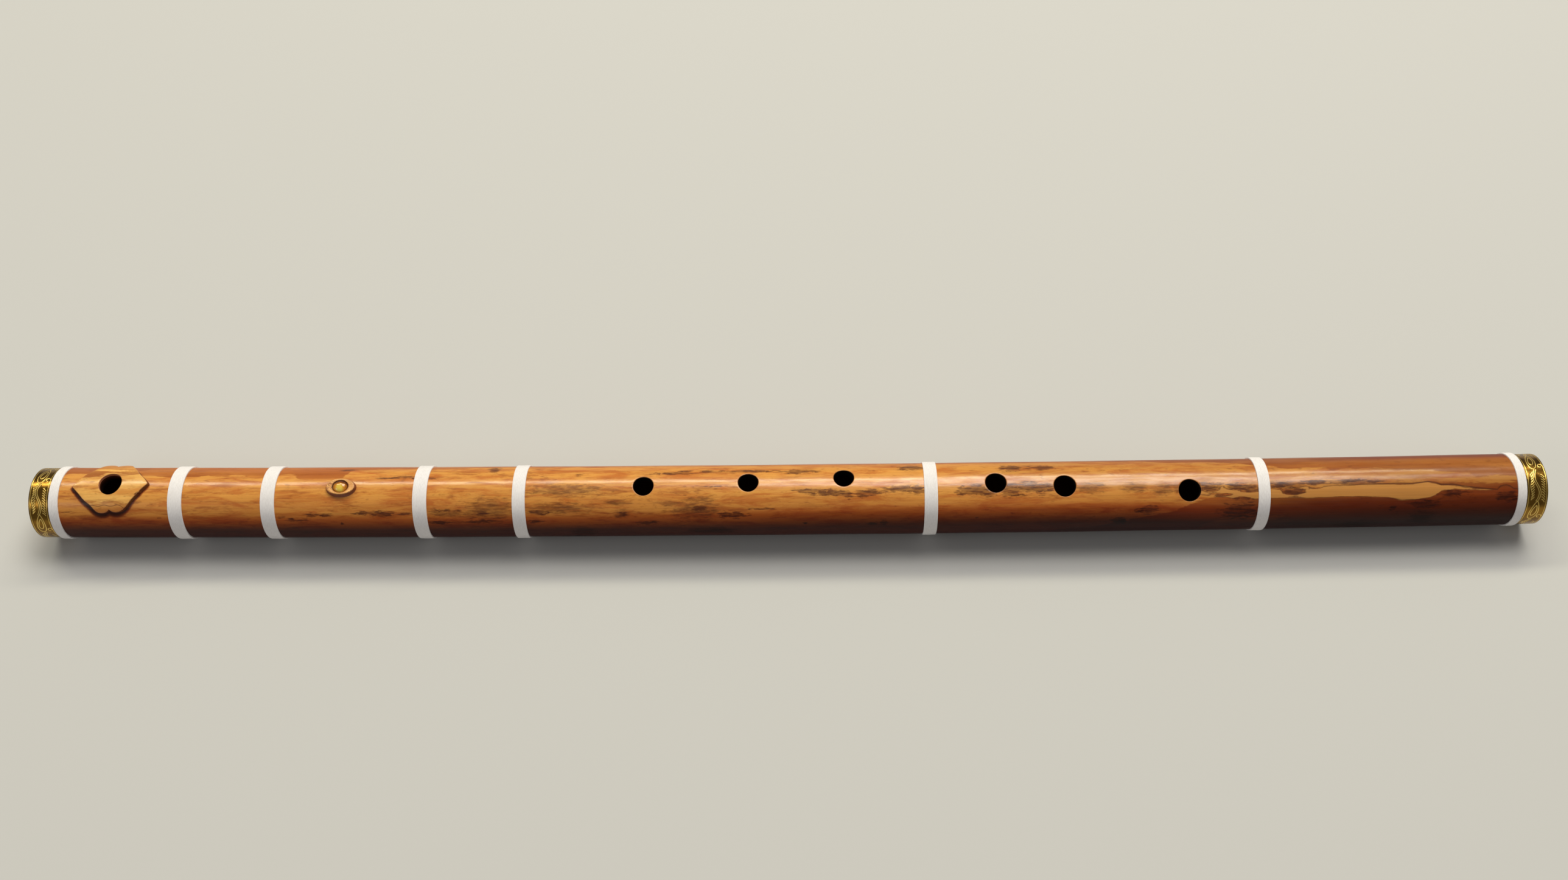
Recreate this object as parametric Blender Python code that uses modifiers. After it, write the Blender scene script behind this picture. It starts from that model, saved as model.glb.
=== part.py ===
"""A bansuri: a bamboo flute blown across a hole in its side.

The flute lies along X, with its head end at -X and its blowing hole facing up, +Z.
The origin is on the surface that it lies on, under the middle of its length. It rests
on its thread bindings, which stand a little proud of the bamboo. Sizes are in metres.

Places along the flute are measured from the head end. Angles round it are measured from
the blowing hole's line and grow towards +Y.
"""
import math

import bmesh
import bpy
from mathutils import Matrix, Vector

MM = 0.001

# Bamboo tube
LENGTH = 561.1 * MM
TUBE_RADIUS = 13.25 * MM
BORE_RADIUS = 10.0 * MM
FACETS = 32
FACET = 2 * math.pi / FACETS
BAY = 62.0 * MM
GAP = 0.3 * MM

# Thread bindings, each as the places where it starts and ends
BINDING_RADIUS = 13.8 * MM
BINDING_CHAMFER = 0.1 * MM
BINDING_SPANS = [
    (7.7 * MM, 11.2 * MM),
    (52.2 * MM, 57.4 * MM),
    (86.8 * MM, 92.0 * MM),
    (143.4 * MM, 148.6 * MM),
    (180.3 * MM, 185.1 * MM),
    (332.6 * MM, 337.5 * MM),
    (455.1 * MM, 459.4 * MM),
    (550.0 * MM, 553.2 * MM),
]
BINDING_PLACES = [(start + end) / 2 for start, end in BINDING_SPANS]
AXIS_HEIGHT = BINDING_RADIUS * math.cos(FACET / 2)

# Natural bow of the bamboo: the ends bend back, towards +Y, by BOW_RISE at BOW_SPAN from
# the middle. The level puts the origin half way between the outermost bindings' sides.
BOW_RISE = 1.58 * MM
BOW_SPAN = 265.0 * MM
BOW_SHARES = [((place - LENGTH / 2) / BOW_SPAN) ** 2 for place in BINDING_PLACES]
BOW_LEVEL = (min(BOW_SHARES) + max(BOW_SHARES)) / 2

# Brass ferrules, flush with the bamboo, on a step turned at each end
FERRULE_RADIUS = 13.15 * MM
FERRULE_WALL = 0.5 * MM
FERRULE_CHAMFER = 0.15 * MM
STEP_RADIUS = FERRULE_RADIUS - FERRULE_WALL - GAP
HEAD_STEP = BINDING_SPANS[0][0]
FOOT_STEP = BINDING_SPANS[-1][1]

# Blowing hole and finger holes
HOLE_SIDES = 24
MOUTH_PLACE = 30.3 * MM
MOUTH_LENGTH = 8.4 * MM
MOUTH_WIDTH = 8.9 * MM
FINGER_HOLES = [
    # place, angle round the tube, diameter
    (228.8 * MM, math.radians(-5.0), 7.5 * MM),
    (267.6 * MM, math.radians(0.0), 7.5 * MM),
    (303.0 * MM, math.radians(7.3), 7.5 * MM),
    (359.0 * MM, math.radians(-5.2), 7.7 * MM),
    (384.3 * MM, math.radians(-12.3), 8.1 * MM),
    (430.0 * MM, math.radians(-22.8), 8.1 * MM),
]
DRILL_FROM = 5.0 * MM
DRILL_TO = 18.0 * MM

# Lip plate: two lobes on each long side, and a blunt point at each end
PLATE_TOP = 14.45 * MM
PLATE_BOTTOM = TUBE_RADIUS + GAP
LOBE_PLACE = 2.75 * MM
LOBE_SIDE = 7.9 * MM
LOBE_RADIUS = 3.6 * MM
TIP_PLACE = 13.05 * MM
TIP_SIDE = -0.7 * MM
TIP_RADIUS = 0.8 * MM
PLATE_TURN = math.radians(2.6)
LOBE_POINTS = 8
TIP_POINTS = 4

# Wooden bezel and the stone in it
BEZEL_PLACE = 116.7 * MM
BEZEL_ANGLE = math.radians(-4.5)
BEZEL_LENGTH = 12.2 * MM
BEZEL_WIDTH = 7.4 * MM
BEZEL_TAPER = 0.885
BEZEL_TOP = 14.75 * MM
BEZEL_ROOT = 12.0 * MM
BEZEL_SIDES = 40
STONE_LENGTH = 5.8 * MM
STONE_WIDTH = 4.8 * MM
STONE_TOP = 15.7 * MM
STONE_GIRDLE = 14.0 * MM
STONE_BASE = 13.65 * MM
POCKET_CLEARANCE = 0.25 * MM

# Stopper cork, inside the head end
CORK_FROM = 2.0 * MM
CORK_TO = 11.0 * MM
CORK_RADIUS = BORE_RADIUS - GAP
CORK_CHAMFER = 0.5 * MM


def clear_scene():
    """Remove what the scene holds, so that the model is the same each time."""
    for old in list(bpy.data.objects):
        bpy.data.objects.remove(old, do_unlink=True)


def new_collection(name):
    """Link a new collection to the scene."""
    collection = bpy.data.collections.new(name)
    bpy.context.scene.collection.children.link(collection)
    return collection


def finish(name, colour, roughness, metallic=0.0):
    """Make a plain material with the colour and gloss of one finish."""
    material = bpy.data.materials.new(name)
    material.use_nodes = True
    shader = material.node_tree.nodes["Principled BSDF"]
    shader.inputs["Base Color"].default_value = (*colour, 1.0)
    shader.inputs["Roughness"].default_value = roughness
    shader.inputs["Metallic"].default_value = metallic
    return material


def axis_point(place):
    """Point on the bowed centre line at a distance from the head end."""
    x = place - LENGTH / 2
    return Vector((x, BOW_RISE * ((x / BOW_SPAN) ** 2 - BOW_LEVEL), AXIS_HEIGHT))


def seat(obj, place, angle=0.0):
    """Put an object, whose own origin is on the centre line, at its place on the flute."""
    obj.location = axis_point(place)
    obj.rotation_euler = (-angle, 0.0, 0.0)


def add_object(name, mesh, collection, material=None):
    """Make an object of a mesh, and give it its material."""
    obj = bpy.data.objects.new(name, mesh)
    collection.objects.link(obj)
    if material:
        mesh.materials.append(material)
    return obj


def evaluated_mesh(obj):
    """Mesh of an object with its modifiers or its curve settings applied."""
    bpy.context.view_layer.update()
    graph = bpy.context.evaluated_depsgraph_get()
    return bpy.data.meshes.new_from_object(obj.evaluated_get(graph))


def shade(mesh):
    """Shade the round sides smooth, and keep the edges crisp."""
    mesh.shade_smooth()
    mesh.set_sharp_from_angle(angle=math.radians(30))


def turned_mesh(name, profile):
    """Closed solid turned about X from a profile of (place, radius) points.

    A ring's profile closes on itself, and a plug's ends on the axis. The profile stands
    half a facet round from the top, so that there is a flat facet at the very bottom, on
    which the flute can lie.
    """
    side = math.sin(FACET / 2)
    up = math.cos(FACET / 2)
    outline = bpy.data.meshes.new(name + "_profile")
    points = [(place, radius * side, radius * up) for place, radius in profile]
    count = len(points)
    edges = [(i, (i + 1) % count) for i in range(count)]
    if profile[0][1] == 0.0:
        edges.pop()
    outline.from_pydata(points, edges, [])
    lathe = bpy.data.objects.new(name + "_lathe", outline)
    bpy.context.scene.collection.objects.link(lathe)
    screw = lathe.modifiers.new("turn", "SCREW")
    screw.axis = "X"
    screw.steps = FACETS
    screw.render_steps = FACETS
    screw.use_merge_vertices = True
    screw.merge_threshold = 0.00001
    mesh = evaluated_mesh(lathe)
    bpy.data.objects.remove(lathe, do_unlink=True)
    mesh.name = name
    face_outwards(mesh)
    return mesh


def face_outwards(mesh):
    """Point every face of a closed mesh outwards."""
    bm = bmesh.new()
    bm.from_mesh(mesh)
    bmesh.ops.recalc_face_normals(bm, faces=bm.faces)
    bm.to_mesh(mesh)
    bm.free()


def chamfered_ring(start, end, inner, outer, chamfer):
    """Profile of a ring whose two outer edges are chamfered."""
    return [
        (start, inner),
        (start, outer - chamfer),
        (start + chamfer, outer),
        (end - chamfer, outer),
        (end, outer - chamfer),
        (end, inner),
    ]


def add_cutter(name, mesh, collection):
    """Make a cutter: a guide that shows as wire and isn't part of the flute."""
    cutter = add_object(name, mesh, collection)
    cutter.hide_render = True
    cutter.display_type = "WIRE"
    return cutter


def drill_mesh(name, length, width):
    """Oval drill that stands on the centre line and reaches out through the wall."""
    bm = bmesh.new()
    bmesh.ops.create_cone(
        bm, cap_ends=True, segments=HOLE_SIDES, radius1=0.5, radius2=0.5, depth=DRILL_TO - DRILL_FROM
    )
    bmesh.ops.scale(bm, vec=(length, width, 1.0), verts=bm.verts)
    bmesh.ops.translate(bm, vec=(0.0, 0.0, (DRILL_FROM + DRILL_TO) / 2), verts=bm.verts)
    mesh = bpy.data.meshes.new(name)
    bm.to_mesh(mesh)
    bm.free()
    return mesh


def cut(obj, cutter):
    """Cut an object by a cutter with an exact Boolean."""
    boolean = obj.modifiers.new("cut_by_" + cutter.name, "BOOLEAN")
    boolean.operation = "DIFFERENCE"
    boolean.solver = "EXACT"
    boolean.object = cutter


def make_mouth_drill(cutters):
    """Drill for the blowing hole, which goes through the lip plate and the tube."""
    drill = add_cutter("mouth_drill", drill_mesh("mouth_drill", MOUTH_LENGTH, MOUTH_WIDTH), cutters)
    seat(drill, MOUTH_PLACE)
    return drill


def make_tube(parts, cutters, mouth_drill, bamboo):
    """Bamboo tube: turned with a step at each end, bowed, then drilled."""
    bays = math.ceil((FOOT_STEP - HEAD_STEP) / BAY)
    stations = [HEAD_STEP + (FOOT_STEP - HEAD_STEP) * i / bays for i in range(bays + 1)]
    profile = [(0.0, STEP_RADIUS), (HEAD_STEP, STEP_RADIUS)]
    profile += [(place, TUBE_RADIUS) for place in stations]
    profile += [(FOOT_STEP, STEP_RADIUS), (LENGTH, STEP_RADIUS), (LENGTH, BORE_RADIUS)]
    profile += [(place, BORE_RADIUS) for place in reversed(stations)]
    profile += [(0.0, BORE_RADIUS)]
    mesh = turned_mesh("tube", profile)
    for vertex in mesh.vertices:
        vertex.co += axis_point(vertex.co.x) - Vector((vertex.co.x, 0.0, 0.0))
    tube = add_object("tube", mesh, parts, bamboo)
    cut(tube, mouth_drill)
    for number, (place, angle, diameter) in enumerate(FINGER_HOLES, start=1):
        name = "finger_drill_%d" % number
        drill = add_cutter(name, drill_mesh(name, diameter, diameter), cutters)
        seat(drill, place, angle)
        cut(tube, drill)
    shade(mesh)
    return tube


def make_ferrules(parts, brass):
    """Two brass sleeves, one on the step at each end."""
    wide = (HEAD_STEP - GAP) / 2
    inner = FERRULE_RADIUS - FERRULE_WALL
    profile = chamfered_ring(-wide, wide, inner, FERRULE_RADIUS, FERRULE_CHAMFER)
    head = add_object("head_ferrule", turned_mesh("head_ferrule", profile), parts, brass)
    seat(head, wide)
    wide = (LENGTH - FOOT_STEP - GAP) / 2
    profile = chamfered_ring(-wide, wide, inner, FERRULE_RADIUS, FERRULE_CHAMFER)
    foot = add_object("foot_ferrule", turned_mesh("foot_ferrule", profile), parts, brass)
    seat(foot, LENGTH - wide)
    for ferrule in (head, foot):
        shade(ferrule.data)


def make_bindings(parts, thread):
    """Eight bands of thread wound round the tube."""
    for number, (start, end) in enumerate(BINDING_SPANS, start=1):
        name = "binding_%d" % number
        wide = (end - start) / 2
        profile = chamfered_ring(-wide, wide, TUBE_RADIUS + GAP, BINDING_RADIUS, BINDING_CHAMFER)
        binding = add_object(name, turned_mesh(name, profile), parts, thread)
        seat(binding, BINDING_PLACES[number - 1])
        shade(binding.data)


def arc(centre, radius, start, end, count):
    """Points on an arc, both ends included."""
    angles = [start + (end - start) * i / (count - 1) for i in range(count)]
    return [Vector((centre[0] + radius * math.cos(a), centre[1] + radius * math.sin(a))) for a in angles]


def plate_outline():
    """Edge of the lip plate laid flat: x along the flute, y round it.

    The half at +x is two lobe arcs and a tip arc. A straight edge touches each lobe and
    the tip: its normal makes the angle acos((R - r) / d) with the line of their centres.
    The lobes' arcs meet the other half's in a notch at x = 0. The other half is its mirror.
    """
    tip = Vector((TIP_PLACE, TIP_SIDE))
    notch = math.acos(-LOBE_PLACE / LOBE_RADIUS)
    normals = []
    for side in (1, -1):
        line = tip - Vector((LOBE_PLACE, side * LOBE_SIDE))
        spread = math.acos((LOBE_RADIUS - TIP_RADIUS) / line.length)
        normals.append(math.atan2(line.y, line.x) + side * spread)
    upper, lower = normals
    half = arc((LOBE_PLACE, LOBE_SIDE), LOBE_RADIUS, notch, upper, LOBE_POINTS)
    half += arc(tip, TIP_RADIUS, upper, lower, TIP_POINTS)
    half += arc((LOBE_PLACE, -LOBE_SIDE), LOBE_RADIUS, lower, -notch, LOBE_POINTS)
    mirrored = [Vector((-point.x, point.y)) for point in reversed(half[1:-1])]
    return half + mirrored


def make_lip_plate(parts, mouth_drill, bamboo):
    """Lip plate: a flat outline bent round the tube, with the blowing hole through it."""
    curve = bpy.data.curves.new("plate_outline", "CURVE")
    curve.dimensions = "2D"
    curve.fill_mode = "BOTH"
    curve.extrude = (PLATE_TOP - PLATE_BOTTOM) / 2
    outline = plate_outline()
    spline = curve.splines.new("POLY")
    spline.points.add(len(outline) - 1)
    spline.use_cyclic_u = True
    for point, corner in zip(spline.points, outline):
        corner.rotate(Matrix.Rotation(PLATE_TURN, 2))
        point.co = (corner.x, corner.y, 0.0, 1.0)
    flat = bpy.data.objects.new("plate_flat", curve)
    bpy.context.scene.collection.objects.link(flat)
    mesh = evaluated_mesh(flat)
    bpy.data.objects.remove(flat, do_unlink=True)
    mesh.name = "lip_plate"
    bend_round_tube(mesh)
    plate = add_object("lip_plate", mesh, parts, bamboo)
    seat(plate, MOUTH_PLACE)
    cut(plate, mouth_drill)
    shade(mesh)
    return plate


def bend_round_tube(mesh):
    """Score a flat plate at the tube's facet corners, and bend it on to the facets."""
    bm = bmesh.new()
    bm.from_mesh(mesh)
    bmesh.ops.remove_doubles(bm, verts=bm.verts, dist=0.00001)
    reach = max(vertex.co.y for vertex in bm.verts) / PLATE_TOP
    corners = math.ceil(reach / FACET)
    for i in range(-corners, corners):
        across = (i + 0.5) * FACET * PLATE_TOP
        everything = bm.verts[:] + bm.edges[:] + bm.faces[:]
        bmesh.ops.bisect_plane(
            bm, geom=everything, dist=0.000001, plane_co=(0.0, across, 0.0), plane_no=(0.0, 1.0, 0.0)
        )
    middle = (PLATE_TOP + PLATE_BOTTOM) / 2
    for vertex in bm.verts:
        angle = vertex.co.y / PLATE_TOP
        radius = middle + vertex.co.z
        vertex.co = Vector((vertex.co.x, radius * math.sin(angle), radius * math.cos(angle)))
    bmesh.ops.recalc_face_normals(bm, faces=bm.faces)
    bm.to_mesh(mesh)
    bm.free()


def make_bezel(parts, cutters, wood):
    """Wooden bezel: a tapered oval, hollowed to sit on the tube and bored for the stone."""
    bm = bmesh.new()
    bmesh.ops.create_cone(
        bm, cap_ends=True, segments=BEZEL_SIDES, radius1=0.5, radius2=0.5 * BEZEL_TAPER, depth=BEZEL_TOP - BEZEL_ROOT
    )
    bmesh.ops.scale(bm, vec=(BEZEL_LENGTH, BEZEL_WIDTH, 1.0), verts=bm.verts)
    bmesh.ops.translate(bm, vec=(0.0, 0.0, (BEZEL_ROOT + BEZEL_TOP) / 2), verts=bm.verts)
    mesh = bpy.data.meshes.new("gem_bezel")
    bm.to_mesh(mesh)
    bm.free()
    bezel = add_object("gem_bezel", mesh, parts, wood)
    seat(bezel, BEZEL_PLACE, BEZEL_ANGLE)
    saddle_profile = [(-BEZEL_LENGTH, 0.0), (-BEZEL_LENGTH, TUBE_RADIUS + GAP)]
    saddle_profile += [(BEZEL_LENGTH, TUBE_RADIUS + GAP), (BEZEL_LENGTH, 0.0)]
    saddle = add_cutter("saddle", turned_mesh("saddle", saddle_profile), cutters)
    seat(saddle, BEZEL_PLACE)
    pocket_length = STONE_LENGTH + 2 * POCKET_CLEARANCE
    pocket_width = STONE_WIDTH + 2 * POCKET_CLEARANCE
    pocket = add_cutter("stone_pocket", drill_mesh("stone_pocket", pocket_length, pocket_width), cutters)
    seat(pocket, BEZEL_PLACE, BEZEL_ANGLE)
    cut(bezel, saddle)
    cut(bezel, pocket)
    shade(mesh)
    return bezel


def make_stone(parts, amber):
    """Stone in the bezel: a domed oval with a flat back."""
    bm = bmesh.new()
    bmesh.ops.create_uvsphere(bm, u_segments=24, v_segments=12, radius=1.0)
    size = (STONE_LENGTH / 2, STONE_WIDTH / 2, STONE_TOP - STONE_GIRDLE)
    bmesh.ops.scale(bm, vec=size, verts=bm.verts)
    bmesh.ops.translate(bm, vec=(0.0, 0.0, STONE_GIRDLE), verts=bm.verts)
    everything = bm.verts[:] + bm.edges[:] + bm.faces[:]
    sliced = bmesh.ops.bisect_plane(
        bm, geom=everything, dist=0.000001, plane_co=(0.0, 0.0, STONE_BASE), plane_no=(0.0, 0.0, 1.0), clear_inner=True
    )
    rim = [item for item in sliced["geom_cut"] if isinstance(item, bmesh.types.BMEdge)]
    bmesh.ops.contextual_create(bm, geom=rim)
    bmesh.ops.recalc_face_normals(bm, faces=bm.faces)
    mesh = bpy.data.meshes.new("gem")
    bm.to_mesh(mesh)
    bm.free()
    stone = add_object("gem", mesh, parts, amber)
    seat(stone, BEZEL_PLACE, BEZEL_ANGLE)
    shade(mesh)
    return stone


def make_cork(parts, cork):
    """Stopper cork, which closes the bore behind the blowing hole."""
    half = (CORK_TO - CORK_FROM) / 2
    chamfered = CORK_RADIUS - CORK_CHAMFER
    profile = [
        (-half, 0.0),
        (-half, chamfered),
        (-half + CORK_CHAMFER, CORK_RADIUS),
        (half - CORK_CHAMFER, CORK_RADIUS),
        (half, chamfered),
        (half, 0.0),
    ]
    stopper = add_object("head_cork", turned_mesh("head_cork", profile), parts, cork)
    seat(stopper, (CORK_FROM + CORK_TO) / 2)
    shade(stopper.data)
    return stopper


def main():
    """Build the flute."""
    clear_scene()
    parts = new_collection("bansuri")
    cutters = new_collection("cutters")
    bamboo = finish("bamboo", (0.46, 0.18, 0.045), 0.42)
    thread = finish("white_thread", (0.80, 0.77, 0.72), 0.75)
    brass = finish("engraved_brass", (0.55, 0.36, 0.10), 0.30, metallic=1.0)
    wood = finish("carved_wood", (0.50, 0.24, 0.08), 0.60)
    amber = finish("amber_glass", (0.75, 0.50, 0.08), 0.08)
    cork = finish("stopper_cork", (0.48, 0.30, 0.16), 0.90)
    mouth_drill = make_mouth_drill(cutters)
    make_tube(parts, cutters, mouth_drill, bamboo)
    make_ferrules(parts, brass)
    make_bindings(parts, thread)
    make_lip_plate(parts, mouth_drill, bamboo)
    make_bezel(parts, cutters, wood)
    make_stone(parts, amber)
    make_cork(parts, cork)


main()
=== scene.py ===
# %% [markdown]
# # A bamboo flute with a lip plate
# The flute is a bamboo tube that is blown across a hole in its side. A raised plate
# surrounds that hole, eight bands of white thread keep the bamboo from splitting, a stone
# sits in a wooden bezel, and a brass sleeve protects each end. The frame holds plain
# solids of all these pieces. This script puts a finely made piece over each of them.

import bmesh
import bpy
import numpy as np
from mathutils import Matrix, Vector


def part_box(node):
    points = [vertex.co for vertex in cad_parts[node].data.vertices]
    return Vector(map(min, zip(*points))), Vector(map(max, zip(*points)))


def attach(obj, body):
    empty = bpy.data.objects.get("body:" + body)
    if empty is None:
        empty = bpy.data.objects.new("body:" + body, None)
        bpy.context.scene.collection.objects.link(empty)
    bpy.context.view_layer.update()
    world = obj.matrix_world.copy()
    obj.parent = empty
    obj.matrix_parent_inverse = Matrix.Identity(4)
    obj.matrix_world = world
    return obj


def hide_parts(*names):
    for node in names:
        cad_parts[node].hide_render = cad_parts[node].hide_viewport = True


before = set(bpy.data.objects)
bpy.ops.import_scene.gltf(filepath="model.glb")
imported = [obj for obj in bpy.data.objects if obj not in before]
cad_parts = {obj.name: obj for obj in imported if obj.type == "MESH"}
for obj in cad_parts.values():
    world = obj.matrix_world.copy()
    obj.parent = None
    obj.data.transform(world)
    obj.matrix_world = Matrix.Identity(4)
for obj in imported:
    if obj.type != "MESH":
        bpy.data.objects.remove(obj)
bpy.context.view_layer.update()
MM = 0.001

# %% [markdown]
# ## Find the flute's centre line
# Bamboo is never quite straight. The bands of thread are round and sit on the centre
# line, so the middles of their boxes give points on it, and a parabola through these
# points gives the bow. Every piece below is first worked out on a straight flute whose
# centre line is the X axis, in "place" (distance from the head end) and "angle" (round
# the tube, from the blowing hole towards +Y), and then bent on to the real line.

# %% Centre line and the three ways to put a point on it
tube_low, tube_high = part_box("tube")
HEAD_X = tube_low.x
LENGTH = tube_high.x - tube_low.x
BANDS = ["binding_%d" % number for number in range(1, 9)]
band_middles = np.array([(low + high) / 2 for low, high in map(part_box, BANDS)])
BOW = np.polyfit(band_middles[:, 0], band_middles[:, 1], 2)
AXIS_HEIGHT = band_middles[:, 2].mean()


def bend(place, side, up):
    """Point of the straight flute moved on to the bowed one.

    x is the place counted from the head end, y is the side plus the bow's parabola at
    that x, and z is the height plus the centre line's height.
    """
    x = HEAD_X + place
    return np.stack(np.broadcast_arrays(x, side + np.polyval(BOW, x), up + AXIS_HEIGHT), -1)


def lean(place, side, up, angle):
    """Point whose side and up are first turned by an angle round the centre line."""
    cos, sin = np.cos(angle), np.sin(angle)
    return bend(place, up * sin + side * cos, up * cos - side * sin)


def round_tube(place, angle, radius):
    """Point at a radius from the centre line: side = r sin(angle), up = r cos(angle)."""
    return lean(place, 0, radius, angle)


def span(name):
    """Places where a piece of the frame starts and ends."""
    low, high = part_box(name)
    return low.x - HEAD_X, high.x - HEAD_X


print("length %.1f mm, axis %.2f mm up, bow %.2f mm" % (
    LENGTH / MM, AXIS_HEIGHT / MM, BOW[0] * (LENGTH / 2) ** 2 / MM))

# %% [markdown]
# ## Turn grids of points into meshes
# Each piece is a grid: one parameter runs along it and one round it. numpy works out all
# the points at once, and also the four corner numbers of every face. A grid that closes
# on itself both ways is a ring with no open edge, which suits tubes, bands and sleeves.
# Extra values, such as how deep an engraved line is, ride on the points as attributes,
# and the materials read them by name.

# %% Grid faces, and a function that makes one piece
SHARP_ANGLE = np.radians(42)


def grid_quads(rows, columns, ring_rows=True):
    """Corner numbers of a grid's faces, as an array of rows x columns x 4.

    Face (r, c) joins points (r, c), (r, c+1), (r+1, c+1) and (r+1, c). The last column is
    followed by the first, and so is the last row where the rows are a ring too.
    """
    r = np.arange(rows if ring_rows else rows - 1)[:, None]
    c = np.arange(columns)[None, :]
    r2, c2 = (r + 1) % rows, (c + 1) % columns
    return np.stack([r * columns + c, r * columns + c2, r2 * columns + c2, r2 * columns + c], -1)


def closed_solid(rings, first_middle, last_middle):
    """Points and faces of a solid made of rings, with a middle point to close each end."""
    rows, columns = rings.shape[:2]
    faces = [grid_quads(rows, columns, ring_rows=False)]
    c = np.arange(columns)
    for start, middle in ((0, rows * columns), ((rows - 1) * columns, rows * columns + 1)):
        faces.append(np.stack([start + c, start + (c + 1) % columns, np.full(columns, middle)], -1))
    return np.concatenate([rings.reshape(-1, 3), [first_middle, last_middle]]), faces


def add_object(name, data):
    """Put an object into the scene."""
    added = bpy.data.objects.new(name, data)
    bpy.context.scene.collection.objects.link(added)
    return added


def make_piece(name, points, faces, material, slot, body="flute", **fields):
    """Make one piece that stands for the CAD node of its name.

    points is any array whose last axis is x, y, z. faces is a list of arrays of corner
    numbers. Each field is an attribute, with one number or three for every point.
    """
    mesh = bpy.data.meshes.new(name)
    corners = [face for part in faces for face in part.reshape(-1, part.shape[-1]).tolist()]
    mesh.from_pydata(points.reshape(-1, 3).tolist(), [], corners)
    bm = bmesh.new()
    bm.from_mesh(mesh)
    bmesh.ops.recalc_face_normals(bm, faces=bm.faces)
    bm.to_mesh(mesh)
    bm.free()
    for label, values in fields.items():
        kind, key = ("FLOAT_VECTOR", "vector") if values.size == points.size else ("FLOAT", "value")
        layer = mesh.attributes.new(label, kind, "POINT")
        layer.data.foreach_set(key, values.astype(np.float32).ravel())
    mesh.shade_smooth()
    mesh.set_sharp_from_angle(angle=SHARP_ANGLE)
    mesh.materials.append(material)
    piece = add_object(name + "_visual", mesh)
    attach(piece, body)
    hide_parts(name)
    print("%s: %d points, %d triangles" % (name, len(mesh.vertices), sum(len(c) - 2 for c in corners)))


# %% [markdown]
# ## Helpers for materials
# A material is a chain of small steps: stretch the coordinates along the grain, take a
# noise, turn it into a mask with soft edges, and mix two colours by it. One short function
# for each step keeps the materials readable. Colours are written as they look on a screen,
# from 0 to 255, and turned into the linear values that Blender works in.

# %% One function for each kind of step
def paint(red, green, blue):
    """Linear colour of a screen colour: c/12.92 below 0.04, else ((c+0.055)/1.055)^2.4."""
    c = np.array([red, green, blue]) / 255
    linear = np.where(c <= 0.04045, c / 12.92, ((c + 0.055) / 1.055) ** 2.4)
    return (*linear.tolist(), 1.0)


def feed(socket, value):
    """Link a socket to another node's output, or set a plain value on it."""
    if isinstance(value, bpy.types.NodeSocket):
        socket.id_data.links.new(value, socket)
    else:
        socket.default_value = value


def put(kind, inputs, tree=None, **settings):
    """Add a node to the tree that its inputs come from, set its options, and feed it."""
    if tree is None:
        tree = next(v.id_data for v in inputs.values() if isinstance(v, bpy.types.NodeSocket))
    node = tree.nodes.new(kind)
    for option, value in settings.items():
        setattr(node, option, value)
    for key, value in inputs.items():
        feed(node.inputs[key], value)
    return node


def calc(operation, first, second=0):
    """Arithmetic on two values."""
    return put("ShaderNodeMath", {0: first, 1: second}, operation=operation).outputs[0]


def times(first, second):
    """Product of two values."""
    return calc("MULTIPLY", first, second)


def split(vector):
    """X, Y and Z of a vector."""
    return put("ShaderNodeSeparateXYZ", {0: vector}).outputs


def attribute(near, label, output="Fac"):
    """Attribute of the piece, read in the node tree that the socket near belongs to."""
    return put("ShaderNodeAttribute", {}, near.id_data, attribute_name=label).outputs[output]


def stretch(vector, along, across):
    """Coordinates times along in x and times across in y and z."""
    inputs = {"Vector": vector, "Scale": (along, across, across)}
    return put("ShaderNodeMapping", inputs).outputs["Vector"]


def noise(vector, detail=3, rough=0.55, wander=0):
    """Smooth noise between 0 and 1, about one feature for each unit of the vector."""
    inputs = {"Vector": vector, "Scale": 1, "Detail": detail, "Roughness": rough, "Distortion": wander}
    return put("ShaderNodeTexNoise", inputs).outputs["Fac"]


def soft_step(value, low, high, bottom=0, top=1):
    """Bottom below low, top above high, and a smooth slope between."""
    inputs = {"Value": value, "From Min": low, "From Max": high, "To Min": bottom, "To Max": top}
    return put("ShaderNodeMapRange", inputs, interpolation_type="SMOOTHSTEP").outputs["Result"]


def scaled(value, low, high):
    """Value from 0 to 1 moved to the range from low to high."""
    return put("ShaderNodeMapRange", {"Value": value, "To Min": low, "To Max": high}).outputs["Result"]


def mix(share, first, second, kind="MIX"):
    """Colour between first and second, by the share from 0 to 1."""
    inputs = {0: share, 6: first, 7: second}
    return put("ShaderNodeMix", inputs, data_type="RGBA", blend_type=kind).outputs[2]


# %% Functions for whole groups and materials
def new_group(name, outputs, **numbers):
    """Node group with a Vector input, number inputs with first values, and number outputs."""
    group = bpy.data.node_groups.new(name, "ShaderNodeTree")
    group.interface.new_socket("Vector", in_out="INPUT", socket_type="NodeSocketVector")
    for label, value in numbers.items():
        socket = group.interface.new_socket(label, in_out="INPUT", socket_type="NodeSocketFloat")
        socket.default_value = value
    for label in outputs:
        group.interface.new_socket(label, in_out="OUTPUT", socket_type="NodeSocketFloat")
    return group, group.nodes.new("NodeGroupInput").outputs, group.nodes.new("NodeGroupOutput").inputs


def use(group, **inputs):
    """Outputs of a node group that is given these inputs."""
    return put("ShaderNodeGroup", inputs, node_tree=group).outputs


def new_material(name):
    """Material, its Principled shader, and the object's coordinates in its node tree."""
    material = bpy.data.materials.new(name)
    material.use_nodes = True
    tree = material.node_tree
    here = put("ShaderNodeTexCoord", {}, tree).outputs["Object"]
    return material, tree.nodes["Principled BSDF"], here


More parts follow.
